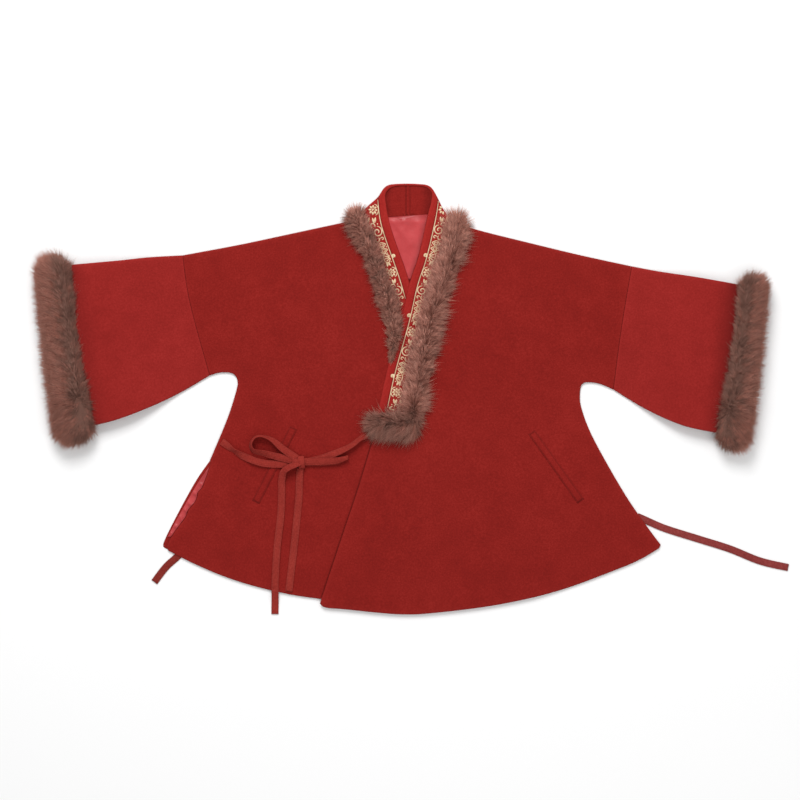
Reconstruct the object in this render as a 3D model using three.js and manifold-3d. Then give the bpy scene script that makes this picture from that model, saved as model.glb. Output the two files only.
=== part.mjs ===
// A short wool jacket with a crossed collar, laid flat on its back with the sleeves spread.
// Millimetres. X runs to the wearer's left, Y to the collar and Z up from the surface it lies on.
// The wearer's left front laps over the right one and a pair of ties holds it with a bow.

import * as THREE from 'three';
import { mergeVertices } from 'three/addons/utils/BufferGeometryUtils.js';
import Module from 'manifold-3d';

const wasm = await Module();
wasm.setup();

// Driving sizes
const CLOTH = 2;             // thickness of the felted wool
const LINING = 0.8;          // thickness of the satin lining
const GAP = 0.3;             // between pieces at a seam, and between one layer and the next
const LOFT = 2;              // how far the upper cloth stands off the lower one inside the edges
const LOFT_REACH = 45;       // how quickly it gets there, going in from an edge
const CELL = 32;             // spacing of the points that shape the cloth
const LAP_FLAT = 50;         // the outer front keeps level this far past the inner front's edge
const LAP_DOWN = 120;        // and is down on the back panel from here
const CUFF_LIFT = 16.3;      // height at which the lower fur of a cuff carries the sleeve
const CUFF_RAMP = [46, 150]; // the sleeve comes down between these distances from the fur
const CUFF_FUR = { height: 44, round: 14 };
const COLLAR_FUR = 22;       // height of the fur along the collar
const WELT = { width: 13, height: 1.2 };
const TIE = { width: 11.5, height: 1.5 };
const KNOT = { length: 17, width: 16, height: 8.6, round: 2.5 };

const ALL_HEIGHTS = [-20, 90]; // below and above everything, for cutting

const WOOL = { color: 0x90231e, roughness: 0.95, metalness: 0 };
const SLEEVE_WOOL = { color: 0x962a25, roughness: 0.95, metalness: 0 };
const SATIN = { color: 0xc94c50, roughness: 0.45, metalness: 0 };
const FUR = { color: 0x7a564b, roughness: 0.9, metalness: 0 };
const TIE_WOOL = { color: 0x832923, roughness: 0.9, metalness: 0 };

// Edges of the cloth. Each row is x, y. "Right" and "left" are the wearer's.
const EDGE = {
  // shoulders, from the collar out to the sleeve seam
  shoulderRight: [[-73.6, 289.6], [-125, 279], [-197, 263.5], [-270, 248], [-360, 231.2]],
  shoulderLeft: [[70.4, 284.8], [115, 270.8], [200, 249.6], [278.4, 230.8], [357.6, 213.6]],
  // sleeve seams, from the shoulder down to the underarm
  seamRight: [[-360, 231.2], [-348, 155], [-316.8, 39.2]],
  seamLeft: [[357.6, 213.6], [340.8, 115.2], [328, 16.8]],
  // underarm curves, from the sleeve seam to the side
  underarmRight: [[-316.8, 39.2], [-300.8, 43.8], [-283.2, 43.2], [-274.4, 36.8], [-272, 25.6]],
  underarmLeft: [[328, 16.8], [307.2, 25.6], [288, 28.3], [277.9, 24.8], [274.9, 12.8]],
  // side seams, and below them the two edges of the right side's slit
  sideRight: [[-272, 25.6], [-276.8, 6.4], [-289.6, -32], [-316.8, -97]],
  slitBack: [[-316.8, -97], [-340.8, -132], [-373.8, -192.6], [-391.2, -229.3], [-388.5, -237]],
  slitFront: [[-316.8, -97], [-328.6, -138], [-355.2, -181.6], [-386.4, -232], [-383.2, -240.8]],
  sideLeft: [[274.9, 12.8], [276.8, -11.2], [296, -60.8], [345.6, -148.8], [384, -204.8], [404.8, -233.6]],
  // hems, from the right side to the left
  hemBack: [[-388.5, -237], [-282, -284], [-149, -314], [-13, -329], [141, -320], [340, -266], [402, -233]],
  hemInner: [[-383.2, -240.8], [-337, -264], [-281.9, -286.4], [-217.6, -304.6], [-148.8, -316.8],
    [-12.8, -330], [140.8, -322]],
  hemOuter: [[-140.8, -324.8], [-132, -331.5], [-100.8, -334.4], [-12.8, -342.4], [51.2, -339.2],
    [147.2, -326.4], [243.2, -304], [339.2, -268.8], [373.8, -254.4], [404.8, -233.6]],
  // overlapping front edges, from the collar's end down to the hem
  lapInner: [[64, -44.6], [140.8, -322]],
  lapOuter: [[-54.4, -57.6], [-78.4, -137.6], [-99.8, -201.6], [-140.8, -324.8]],
  // the collar: its fold over the stand, its seam to the front and its free edge
  foldRight: [[-36, 340], [-49, 323], [-69, 305], [-73.6, 289.6]],
  foldLeft: [[35.5, 340], [43, 331], [56, 305.6], [70.4, 284.8]],
  neckRight: [[-73.6, 289.6], [-70.4, 268.8], [-57.6, 230.4], [-25.6, 128], [11.2, 0], [25.6, -48]],
  neckLeft: [[70.4, 284.8], [72.8, 268.8], [67.2, 230.4], [43.2, 114.4], [18.9, 24], [0, -51.3]],
  freeRight: [[-36, 334], [-32, 293.8], [-23, 260.8], [2.6, 186.6], [36.8, 60.8], [64, -41.6]],
  freeLeft: [[36.8, 335.2], [32, 296.6], [17, 230.9], [2.6, 186.6], [-11.2, 127], [-35.7, 37.3],
    [-54.4, -54.6]],
  // sleeves, from the seam to the cuff
  sleeveTopRight: [[-360, 231.2], [-413, 228], [-461, 222], [-525, 216], [-574, 212]],
  sleeveTopLeft: [[357.6, 213.6], [403, 205], [451, 197], [515, 185.6], [562, 177]],
  sleeveUnderRight: [[-316.8, 39.2], [-364.8, 11.2], [-412.8, -12], [-468.8, -33], [-544, -50]],
  sleeveUnderLeft: [[328, 16.8], [379, -14.4], [427, -37], [467, -48], [540, -60]],
  // the stand behind the neck, up one side and down the other
  standSides: [[-67, 293.1], [-64, 305], [-45, 323], [-33, 340], [-26, 344]],
  standTop: [[-26, 344], [2, 345.5], [27, 344.5]],
  standOtherSide: [[27, 344.5], [34, 338], [40, 331], [53, 305.6], [62, 293.1]],
  // back neck seam
  neckBack: [[-73.6, 289.6], [-40, 292.6], [30, 292.6], [70.4, 284.8]],
};

// Fur strips: x and y of one side, then x and y of the other
const FUR_INNER = [
  [-104, 308, -65, 310], [-100, 286, -60, 292], [-78, 230, -35, 236],
  [-58, 152, -3, 156], [-42, 109, -12, 109], [-30, 62, -25, 62]];
const FUR_OUTER = [
  [61, 300, 96, 302], [54, 276, 101, 282], [50, 230, 99, 232], [26, 152, 76, 155],
  [4, 78, 55, 80], [-10, 16, 41, 18], [-14, -5, 35, -5]];
const FUR_END = [
  [32, -9, 26, -60], [10, -9, 6, -75], [-16, -10, -19, -72], [-42, -13, -42, -66],
  [-62, -20, -61, -59], [-71, -29, -71, -49]];

// Cuffs: the two ends and the width of the fur, and the line where it starts on the sleeve
const CUFF = {
  right: { top: [-568, 237], bottom: [-535, -77], width: 68, startTop: [-532, 205], startBottom: [-499, -32],
    out: -1 },
  left: { top: [555, 206], bottom: [524, -86], width: 62, startTop: [525, 185], startBottom: [494, -40],
    out: 1 },
};

// Pocket welts, from the upper end to the lower
const WELT_RIGHT = [[-182.7, -44], [-243.2, -163.2]];
const WELT_LEFT = [[197.4, -51.2], [275.7, -161.6]];

// Ties. Each row is x, y and the height above the cloth they lie on.
const KNOT_PLACE = [-174.9, -99.2];
const TIE_SIDE = [[-297.5, -66, 0.5], [-277.8, -80.3, 0.6], [-259.2, -91.2, 1.2], [-232, -100.5, 2.1],
  [-204.2, -102.4, 2.1], [-176, -100, 2.1]];
const TIE_FRONT = [[-62.5, -54.8, 0.5], [-75.2, -60.8, 0.5], [-93.9, -74.7, 0.5], [-125.3, -88.6, 0.5],
  [-148.8, -96, 0.5], [-175, -101, 0.5]];
const LOOP_SIDE = [[-176, -91, 6.5], [-198.7, -78.4, 5.2], [-218.9, -61.9, 2.8], [-240, -57.6, 2.2],
  [-250.4, -68.8, 2.2], [-246.4, -80.8, 2.2], [-229.9, -84.8, 2.6], [-211.5, -89.6, 4.2],
  [-176, -98, 4.4]];
const LOOP_FRONT = [[-175, -99, 2.4], [-140.8, -98.4, 2.4], [-113.6, -97, 2.4], [-97.6, -92, 2.4]];
const TAIL_LONG = [[-176, -103, 6.5], [-192, -108.5, 6.4], [-199, -116, 4.6], [-201.5, -130, 1.6],
  [-201.6, -148, 0.5], [-203.2, -185.6, 0.5], [-209.1, -238.4, 0.5], [-212.2, -290, 0.5],
  [-212.3, -304.5, 0.6], [-212.4, -318, -2], [-212.7, -330, -4.1], [-212.8, -342.4, -4.3]];
const TAIL_SHORT = [[-172, -104, 0.5], [-173.6, -136, 0.5], [-174.4, -159.2, 0.5], [-182.4, -238.4, 0.5],
  [-190.4, -305.6, 0.5]];
const TIE_INSIDE_RIGHT = [[-350, -226, 0], [-366, -247.5, 0], [-387.2, -267.2, 0], [-405.6, -291.2, 0]];
const TIE_INSIDE_LEFT = [[352, -180, 0], [376, -190.4, 0], [411.2, -205.6, 0], [467.2, -223.2, 0],
  [515.2, -238.4, 0], [563.2, -257.6, 0], [608, -268, 0]];

// ---- Curves and distances -------------------------------------------------------------------

const point = ([x, y]) => new THREE.Vector2(x, y);

// Points of an edge: a smooth curve through its rows, with a few steps between rows
function edge(name, steps = 2) {
  const rows = EDGE[name].map(point);
  if (rows.length === 2) return rows;
  return new THREE.SplineCurve(rows).getPoints(steps * (rows.length - 1));
}

const back = (points) => [...points].reverse();

// One closed outline from edges that meet end to end
function outline(...edges) {
  const points = [];
  for (const p of edges.flat()) {
    if (!points.length || points[points.length - 1].distanceTo(p) > 0.05) points.push(p.clone());
  }
  if (points[0].distanceTo(points[points.length - 1]) < 0.05) points.pop();
  return THREE.ShapeUtils.area(points) < 0 ? points.reverse() : points;
}

// An outline moved out by a distance, or in where it is negative
function grown(points, distance) {
  const count = points.length;
  return points.map((p, i) => {
    const into = p.clone().sub(points[(i + count - 1) % count]).normalize();
    const from = points[(i + 1) % count].clone().sub(p).normalize();
    const normal = new THREE.Vector2(into.y + from.y, -into.x - from.x);
    return p.clone().addScaledVector(normal, distance / Math.max(0.5, normal.lengthSq() / 2));
  });
}

const shifted = (points, dx, dy = 0) => points.map((p) => new THREE.Vector2(p.x + dx, p.y + dy));

// Distance from a point to an open chain of points, with a sign: positive on its left side
function signedDistance(x, y, chain) {
  let best = Infinity;
  let side = 1;
  for (let i = 0; i + 1 < chain.length; i++) {
    const [a, b] = [chain[i], chain[i + 1]];
    const along = b.clone().sub(a);
    const t = THREE.MathUtils.clamp(
      ((x - a.x) * along.x + (y - a.y) * along.y) / along.lengthSq(), 0, 1);
    const [dx, dy] = [x - a.x - t * along.x, y - a.y - t * along.y];
    const distance = Math.hypot(dx, dy);
    if (distance < best) {
      best = distance;
      side = along.x * dy - along.y * dx >= 0 ? 1 : -1;
    }
  }
  return best * side;
}

// ---- The heights of the layers --------------------------------------------------------------

const smooth = THREE.MathUtils.smoothstep;

const silhouette = outline(
  edge('shoulderRight'), edge('sleeveTopRight'), back(edge('sleeveUnderRight')), edge('underarmRight'),
  edge('sideRight'), edge('slitBack'), edge('hemBack'), back(edge('sideLeft')), back(edge('underarmLeft')),
  edge('sleeveUnderLeft'), back(edge('sleeveTopLeft')), back(edge('shoulderLeft')), back(edge('neckBack')));
const closedSilhouette = [...silhouette, silhouette[0]];
const innerLapEdge = [...edge('freeRight'), ...edge('lapInner')];

// Height of the sleeves' lower cloth, carried up near the cuffs by the fur under it
function sleeveLift(x, y) {
  const cuff = x < 0 ? CUFF.right : CUFF.left;
  const inward = cuff.out * signedDistance(x, y, [point(cuff.startBottom), point(cuff.startTop)]);
  return CUFF_LIFT * (1 - smooth(inward, CUFF_RAMP[0], CUFF_RAMP[1]));
}

function loft(x, y) {
  const inside = Math.max(0, signedDistance(x, y, closedSilhouette));
  return LOFT * (1 - Math.exp(-inside / LOFT_REACH));
}

// Undersides of the upper cloth: the inner front and sleeves, and the outer front over them
const innerLayer = (x, y) => CLOTH + GAP + loft(x, y) + sleeveLift(x, y);

function outerLayer(x, y) {
  const past = signedDistance(x, y, innerLapEdge);
  return innerLayer(x, y) + (CLOTH + GAP) * (1 - smooth(past, LAP_FLAT, LAP_DOWN));
}

// The same height read off the flat facets between the points that shape the cloth
function faceted(height) {
  return (x, y) => {
    const [i, j] = [Math.floor(x / CELL), Math.floor(y / CELL)];
    const [u, v] = [x / CELL - i, y / CELL - j];
    const at = (a, b) => height((i + a) * CELL, (j + b) * CELL);
    const [low, high] = [at(0, 0), at(1, 1)];
    if (u >= v) return low + u * (at(1, 0) - low) + v * (high - at(1, 0));
    return low + v * (at(0, 1) - low) + u * (high - at(0, 1));
  };
}

const innerTop = (x, y) => faceted(innerLayer)(x, y) + CLOTH;
const outerTop = (x, y) => faceted(outerLayer)(x, y) + CLOTH;
const floor = () => 0;

// ---- Solids -----------------------------------------------------------------------------------

function solid(geometry) {
  geometry.deleteAttribute('normal');
  geometry.deleteAttribute('uv');
  const merged = mergeVertices(geometry, 1e-4);
  const mesh = new wasm.Mesh({
    numProp: 3,
    vertProperties: new Float32Array(merged.attributes.position.array),
    triVerts: new Uint32Array(merged.index.array),
  });
  return new wasm.Manifold(mesh);
}

function prism(points, low, high) {
  const shape = new THREE.Shape(points);
  const geometry = new THREE.ExtrudeGeometry(shape, { depth: high - low, bevelEnabled: false });
  return solid(geometry.translate(0, 0, low));
}

// A sheet of cloth that follows a height function, larger than the outline it is cut to
function slab(box, bottom, thickness) {
  const first = box.min.clone().divideScalar(CELL).floor();
  const size = box.max.clone().divideScalar(CELL).ceil().sub(first);
  const columns = size.x + 1;
  const layer = columns * (size.y + 1);
  const positions = [];
  for (const level of [0, thickness]) {
    for (let j = 0; j <= size.y; j++) {
      for (let i = 0; i <= size.x; i++) {
        const [x, y] = [(first.x + i) * CELL, (first.y + j) * CELL];
        positions.push(x, y, bottom(x, y) + level);
      }
    }
  }
  const index = [];
  const wall = (a, b) => index.push(a, b, b + layer, a, b + layer, a + layer);
  for (let j = 0; j < size.y; j++) {
    for (let i = 0; i < size.x; i++) {
      const a = j * columns + i;
      const [b, c, d] = [a + 1, a + columns + 1, a + columns];
      index.push(a, c, b, a, d, c);
      index.push(a + layer, b + layer, c + layer, a + layer, c + layer, d + layer);
    }
  }
  for (let i = 0; i < size.x; i++) {
    wall(i, i + 1);
    wall(size.y * columns + i + 1, size.y * columns + i);
  }
  for (let j = 0; j < size.y; j++) {
    wall((j + 1) * columns, j * columns);
    wall(j * columns + size.x, (j + 1) * columns + size.x);
  }
  const geometry = new THREE.BufferGeometry();
  geometry.setAttribute('position', new THREE.Float32BufferAttribute(positions, 3));
  geometry.setIndex(index);
  return solid(geometry);
}

// A panel: the slab within its outline
function panel(points, bottom, thickness = CLOTH) {
  const box = new THREE.Box2().setFromPoints(points);
  return slab(box, bottom, thickness).intersect(prism(points, ...ALL_HEIGHTS));
}

// A section (across from 0 to 1, and up) drawn out between two edges, resting on a height
function drawnOut(section, near, far, rest) {
  const steps = near.length - 1;
  const shape = new THREE.Shape(section.map(point));
  const geometry = new THREE.ExtrudeGeometry(shape, { depth: steps, steps, bevelEnabled: false });
  const places = geometry.attributes.position;
  for (let i = 0; i < places.count; i++) {
    const step = Math.round(places.getZ(i));
    const flat = near[step].clone().lerp(far[step], places.getX(i));
    places.setXYZ(i, flat.x, flat.y, rest(flat.x, flat.y, step / steps) + places.getY(i));
  }
  const along = near[2].clone().sub(near[1]);
  const across = far[1].clone().sub(near[1]);
  return solid(along.cross(across) > 0 ? geometry : flipped(geometry));
}

function flipped(geometry) {
  const places = geometry.attributes.position.array;
  for (let i = 0; i < places.length; i += 9) {
    for (let k = 0; k < 3; k++) {
      [places[i + k], places[i + 3 + k]] = [places[i + 3 + k], places[i + k]];
    }
  }
  return geometry;
}

const flatSection = (height) => [[0, 0], [0.5, 0], [1, 0], [1, height], [0.5, height], [0, height]];
const furSection = (height) => [
  [0.05, 0], [0.5, 0], [0.95, 0], [1, 0.35 * height], [0.86, 0.8 * height], [0.5, height],
  [0.14, 0.8 * height], [0, 0.35 * height]];

// A flat tie along a path of x, y and height rows
function tie(rows, carrier, height = TIE.height) {
  const path = new THREE.CatmullRomCurve3(rows.map((row) => new THREE.Vector3(...row)));
  const count = 2 * (rows.length - 1);
  const middle = path.getPoints(count);
  const side = middle.map((p, i) => {
    const along = middle[Math.min(i + 1, count)].clone().sub(middle[Math.max(i - 1, 0)]);
    return new THREE.Vector2(-along.y, along.x).normalize().multiplyScalar(TIE.width / 2);
  });
  const flat = middle.map((p) => new THREE.Vector2(p.x, p.y));
  const near = flat.map((p, i) => p.clone().add(side[i]));
  const far = flat.map((p, i) => p.clone().sub(side[i]));
  const rest = (x, y, w) => Math.max(0, carrier(x, y) + middle[Math.round(w * count)].z);
  return drawnOut(flatSection(height), near, far, rest);
}

// ---- The jacket -------------------------------------------------------------------------------

const jacket = new THREE.Group();

function add(name, shape, look) {
  const mesh = shape.getMesh();
  const geometry = new THREE.BufferGeometry();
  geometry.setAttribute('position', new THREE.BufferAttribute(new Float32Array(mesh.vertProperties), 3));
  geometry.setIndex(new THREE.BufferAttribute(new Uint32Array(mesh.triVerts), 1));
  geometry.computeVertexNormals();
  const node = new THREE.Mesh(geometry, new THREE.MeshStandardMaterial(look));
  node.name = name;
  jacket.add(node);
}

// Back panel, on which everything lies, and the lining that shows on it
const backOutline = outline(
  edge('shoulderRight'), edge('seamRight'), edge('underarmRight'), edge('sideRight'), edge('slitBack'),
  edge('hemBack'), back(edge('sideLeft')), back(edge('underarmLeft')), back(edge('seamLeft')),
  back(edge('shoulderLeft')), back(edge('neckBack')));
add('back', prism(backOutline, 0, CLOTH), WOOL);
const backColumn = prism(grown(backOutline, GAP), ...ALL_HEIGHTS);

const neckHole = outline(edge('freeRight', 1).slice(1, 4), back(edge('freeLeft', 1).slice(1, 4)));
const liningLevel = CLOTH + GAP;
add('lining_neck', prism(grown(neckHole, -GAP), liningLevel, liningLevel + LINING), SATIN);

// Fronts
const neckRight = edge('neckRight');
const neckLeft = edge('neckLeft');
const innerOutline = outline(
  edge('shoulderRight'), edge('seamRight'), edge('underarmRight'), edge('sideRight'), edge('slitFront'),
  edge('hemInner'), back(edge('lapInner')), back(neckRight));
add('front_inner', panel(innerOutline, innerLayer), WOOL);

const outerOutline = outline(
  edge('shoulderLeft'), edge('seamLeft'), edge('underarmLeft'), edge('sideLeft'), back(edge('hemOuter')),
  back(edge('lapOuter')), back(neckLeft));
add('front_outer', panel(outerOutline, outerLayer), WOOL);

// Lining in the right side's slit: it shows between the back's edge and the front's
const HEM_FACING = 16;       // it stops this far above the corner of the hem
const [slitHead, slitFoot] = [-104, -237 + HEM_FACING];
const slitStretch = prism([[-450, slitFoot], [-250, slitFoot], [-250, slitHead], [-450, slitHead]].map(point),
  liningLevel, liningLevel + LINING);
const slitLining = prism(grown(backOutline, -GAP), ...ALL_HEIGHTS).intersect(slitStretch)
  .subtract(prism(grown(innerOutline, GAP), ...ALL_HEIGHTS));
add('lining_slit', slitLining, SATIN);

// Collar: the stand behind the neck, and the two bands that cross in front
const standOutline = outline(edge('standSides'), edge('standTop'), edge('standOtherSide'));
add('collar_stand', prism(standOutline, 0, CLOTH).subtract(backColumn), WOOL);

function collarBand(foldName, neck, freeName, layer) {
  const seam = [...edge(foldName), ...neck.slice(1)];
  const free = new THREE.SplineCurve(EDGE[freeName].map(point)).getPoints(seam.length - 1);
  const near = seam.map((p, i) => p.clone().lerp(free[i], GAP / p.distanceTo(free[i])));
  return drawnOut(flatSection(CLOTH), near, free, layer);
}

add('collar_band_inner', collarBand('foldRight', neckRight, 'freeRight', faceted(innerLayer)), WOOL);
add('collar_band_outer', collarBand('foldLeft', neckLeft, 'freeLeft', faceted(outerLayer)), WOOL);

// Sleeves: an upper and a lower panel each, sewn to the body at the drop-shoulder seam
const sleeves = [
  ['right', -1, edge('seamRight'), edge('sleeveTopRight'), edge('sleeveUnderRight')],
  ['left', 1, edge('seamLeft'), edge('sleeveTopLeft'), edge('sleeveUnderLeft')]];
const sleeveOutlines = {};
for (const [side, out, seam, top, under] of sleeves) {
  const [inner, over, below] = [seam, top, under].map((line) => shifted(line, out * GAP));
  const points = outline(back(inner), over, back(below));
  sleeveOutlines[side] = points;
  add(`sleeve_${side}_under`, panel(points, sleeveLift), SLEEVE_WOOL);
  add(`sleeve_${side}_upper`, panel(points, innerLayer), SLEEVE_WOOL);
}

// Fur cuffs: a ring of fur round each sleeve's end, flattened, with the sleeve through it
const MOUTH = 90;            // the way through runs out past the fur
for (const [side, out, , top, under] of sleeves) {
  const { width } = CUFF[side];
  const [high, low] = [point(CUFF[side].top), point(CUFF[side].bottom)];
  const along = low.clone().sub(high).normalize();
  const radius = width / 2 - CUFF_FUR.round;
  const angle = Math.atan2(along.y, along.x);
  const inset = along.clone().multiplyScalar(width / 2);
  const ends = [high.clone().add(inset), low.clone().sub(inset)];
  const shape = new THREE.Shape();
  shape.absarc(ends[1].x, ends[1].y, radius, angle - Math.PI / 2, angle + Math.PI / 2);
  shape.absarc(ends[0].x, ends[0].y, radius, angle + Math.PI / 2, angle + Math.PI * 1.5);
  const ring = solid(new THREE.ExtrudeGeometry(shape, {
    depth: CUFF_FUR.height - 2 * CUFF_FUR.round, curveSegments: 5, bevelEnabled: true, bevelSegments: 3,
    bevelThickness: CUFF_FUR.round, bevelSize: CUFF_FUR.round,
  }).translate(0, 0, CUFF_FUR.round));
  const slotLow = CUFF_LIFT - GAP;
  const slotHigh = CUFF_LIFT + 2 * CLOTH + LOFT + 2 * GAP;
  const cuffEdge = [top[top.length - 1], under[under.length - 1]];
  const mouth = outline(cuffEdge, back(shifted(cuffEdge, out * MOUTH)));
  const slot = prism(grown(sleeveOutlines[side], GAP), slotLow, slotHigh)
    .add(prism(grown(mouth, GAP), slotLow, slotHigh));
  add(`fur_cuff_${side}`, ring.subtract(slot), FUR);
}

// Fur along the collar: on the inner band, on the outer band, and across its lower end
function furStrip(rows, top, steps = 2) {
  const side = (column) => new THREE.SplineCurve(rows.map((row) => point(row.slice(column))))
    .getPoints(steps * (rows.length - 1));
  const [near, far] = [side(0), side(2)];
  return drawnOut(furSection(COLLAR_FUR), near, far, (x, y) => top(x, y) + 2 * GAP);
}

const outerEdge = shifted(edge('freeLeft', 2), -GAP);
const behindOuter = prism(outline(outerEdge, [point([400, -54]), point([400, 335])]), ...ALL_HEIGHTS);
add('fur_collar_inner', furStrip(FUR_INNER, innerTop).subtract(behindOuter), FUR);
add('fur_collar_outer', furStrip(FUR_OUTER, outerTop), FUR);
add('fur_collar_end', furStrip(FUR_END, outerTop), FUR);

// Pocket welts
function welt(rows, top) {
  const [high, low] = rows.map(point);
  const along = low.clone().sub(high);
  const side = new THREE.Vector2(-along.y, along.x).setLength(WELT.width / 2);
  const steps = 5;
  const middle = Array.from({ length: steps + 1 }, (_, i) => high.clone().addScaledVector(along, i / steps));
  const [near, far] = [middle.map((p) => p.clone().add(side)), middle.map((p) => p.clone().sub(side))];
  return drawnOut(flatSection(WELT.height), near, far, (x, y) => top(x, y) + GAP);
}
add('pocket_welt_right', welt(WELT_RIGHT, innerTop), WOOL);
add('pocket_welt_left', welt(WELT_LEFT, outerTop), WOOL);

// Outer ties, with the bow that holds the fronts
const knotFoot = innerTop(...KNOT_PLACE) + 2 * GAP;
const knotSquare = (margin) => [[-1, -1], [1, -1], [1, 1], [-1, 1]].map(([u, v]) => new THREE.Vector2(
  KNOT_PLACE[0] + u * (KNOT.length / 2 + margin), KNOT_PLACE[1] + v * (KNOT.width / 2 + margin)));
const knot = solid(new THREE.ExtrudeGeometry(new THREE.Shape(knotSquare(-KNOT.round)), {
  depth: KNOT.height - 2 * KNOT.round, bevelEnabled: true, bevelSegments: 3,
  bevelThickness: KNOT.round, bevelSize: KNOT.round,
}).translate(0, 0, knotFoot + KNOT.round));
const knotColumn = prism(knotSquare(GAP), ...ALL_HEIGHTS);
add('bow_knot', knot, TIE_WOOL);
add('tie_side', tie(TIE_SIDE, innerTop).subtract(knotColumn), TIE_WOOL);
add('tie_front', tie(TIE_FRONT, innerTop).subtract(knotColumn), TIE_WOOL);
add('bow_loop_side', tie(LOOP_SIDE, innerTop).subtract(knotColumn), TIE_WOOL);

// The other loop is pressed flat: two lengths of tie with a fold at the end
const FOLD = 2.5;
const [endX, endY, endHeight] = LOOP_FRONT[LOOP_FRONT.length - 1];
const upperStrand = LOOP_FRONT.map(([x, y, height]) => [x, y + 1, height + TIE.height + GAP]);
const foldRows = [[endX - FOLD, endY - 0.4, endHeight], [endX + FOLD, endY + 1.4, endHeight]];
const frontLoop = tie(LOOP_FRONT, innerTop).add(tie(upperStrand, innerTop))
  .add(tie(foldRows, innerTop, 2 * TIE.height + GAP));
add('bow_loop_front', frontLoop.subtract(knotColumn), TIE_WOOL);
add('bow_tail_long', tie(TAIL_LONG, innerTop).subtract(knotColumn), TIE_WOOL);
add('bow_tail_short', tie(TAIL_SHORT, innerTop).subtract(knotColumn), TIE_WOOL);

// Inner ties, which come out at the two side slits and lie on the surface
add('tie_inside_right', tie(TIE_INSIDE_RIGHT, floor).subtract(backColumn), TIE_WOOL);
add('tie_inside_left', tie(TIE_INSIDE_LEFT, floor).subtract(backColumn), TIE_WOOL);

// The origin goes to the middle of the underside
const extent = new THREE.Box3().setFromObject(jacket);
const centre = extent.getCenter(new THREE.Vector3());
for (const node of jacket.children) node.position.set(-centre.x, -centre.y, 0);

export default jacket;
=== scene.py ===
import math

import bpy
import numpy as np
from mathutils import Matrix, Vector
from mathutils.geometry import delaunay_2d_cdt


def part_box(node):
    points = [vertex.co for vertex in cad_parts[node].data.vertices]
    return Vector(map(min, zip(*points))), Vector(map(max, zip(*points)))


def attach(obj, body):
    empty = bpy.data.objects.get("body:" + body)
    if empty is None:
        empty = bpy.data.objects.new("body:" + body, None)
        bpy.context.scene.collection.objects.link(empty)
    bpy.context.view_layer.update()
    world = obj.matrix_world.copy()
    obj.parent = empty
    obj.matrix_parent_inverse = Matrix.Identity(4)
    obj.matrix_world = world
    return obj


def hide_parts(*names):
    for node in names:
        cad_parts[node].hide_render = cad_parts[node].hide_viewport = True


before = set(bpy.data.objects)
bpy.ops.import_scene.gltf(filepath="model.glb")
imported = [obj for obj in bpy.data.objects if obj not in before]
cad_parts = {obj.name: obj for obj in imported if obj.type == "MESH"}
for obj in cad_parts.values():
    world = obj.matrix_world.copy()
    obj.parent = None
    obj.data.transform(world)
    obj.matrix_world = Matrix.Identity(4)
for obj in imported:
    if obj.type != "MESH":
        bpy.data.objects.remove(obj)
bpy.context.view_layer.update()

# ---- Back panel -------------------------------------------------------------------------------
# One piece of felted wool from the neck to the hem, cut with flared sides. It lies face down on
# the surface, and its right side is left open below the hip. The tables here are in millimetres,
# with x to the wearer's left and y to the collar.
MM = 0.001
CLOTH = 2.0                   # the wool's thickness
GAP = 0.3                     # between pieces that lie against each other
SAME_POINT = 0.4              # points of an outline that are closer than this are one
SHOULDER_RIGHT = [(-73.6, 289.6), (-125, 279), (-197, 263.5), (-270, 248), (-360, 231.2)]
SHOULDER_LEFT = [(70.4, 284.8), (115, 270.8), (200, 249.6), (278.4, 230.8), (357.6, 213.6)]
SEAM_RIGHT = [(-360, 231.2), (-348, 155), (-316.8, 39.2)]
SEAM_LEFT = [(357.6, 213.6), (340.8, 115.2), (328, 16.8)]
UNDERARM_RIGHT = [(-316.8, 39.2), (-300.8, 43.8), (-283.2, 43.2), (-274.4, 36.8), (-272, 25.6)]
UNDERARM_LEFT = [(328, 16.8), (307.2, 25.6), (288, 28.3), (277.9, 24.8), (274.9, 12.8)]
SIDE_RIGHT = [(-272, 25.6), (-276.8, 6.4), (-289.6, -32), (-316.8, -97)]
SIDE_LEFT = [(274.9, 12.8), (276.8, -11.2), (296, -60.8), (345.6, -148.8), (384, -204.8), (404, -231.4)]
SLIT_BACK = [(-316.8, -97), (-340.8, -132), (-373.8, -192.6), (-391.2, -229.3), (-388.5, -237)]
HEM_BACK = [(-388.5, -237), (-282, -284), (-149, -314), (-13, -329), (141, -320), (340, -266),
            (401.5, -235.6)]
NECK_BACK = [(-73.6, 289.6), (-40, 292.6), (30, 292.6), (70.4, 284.8)]
# Soft folds of the laid cloth: x, y at one end, x, y at the other, half width and height
BACK_FOLDS = [
    (-240, 40, -120, 170, 18, 0.9), (250, 30, 130, 160, 18, 0.9), (-60, 250, -150, 190, 16, 0.7),
    (80, 245, 170, 180, 16, 0.7), (-150, -60, -230, -250, 20, 0.9), (-40, -90, -60, -300, 22, 0.8),
    (70, -60, 110, -290, 22, 0.9), (190, -40, 290, -230, 20, 0.9), (-20, 120, 30, -20, 18, 0.6)]


def curve(rows, steps=12):
    """Points on a smooth curve through the rows, which it passes at every so many steps."""
    rows = np.array(rows, float)
    if len(rows) == 2:
        return rows
    padded = np.vstack([rows[0], rows, rows[-1]])
    t = np.arange(steps)[:, None] / steps
    parts = []
    for before, start, end, after in zip(padded, padded[1:], padded[2:], padded[3:]):
        leave, arrive = (end - before) / 2, (after - start) / 2
        parts.append((2 * start - 2 * end + leave + arrive) * t ** 3
                     + (3 * end - 3 * start - 2 * leave - arrive) * t ** 2 + leave * t + start)
    return np.vstack([*parts, rows[-1:]])


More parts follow.
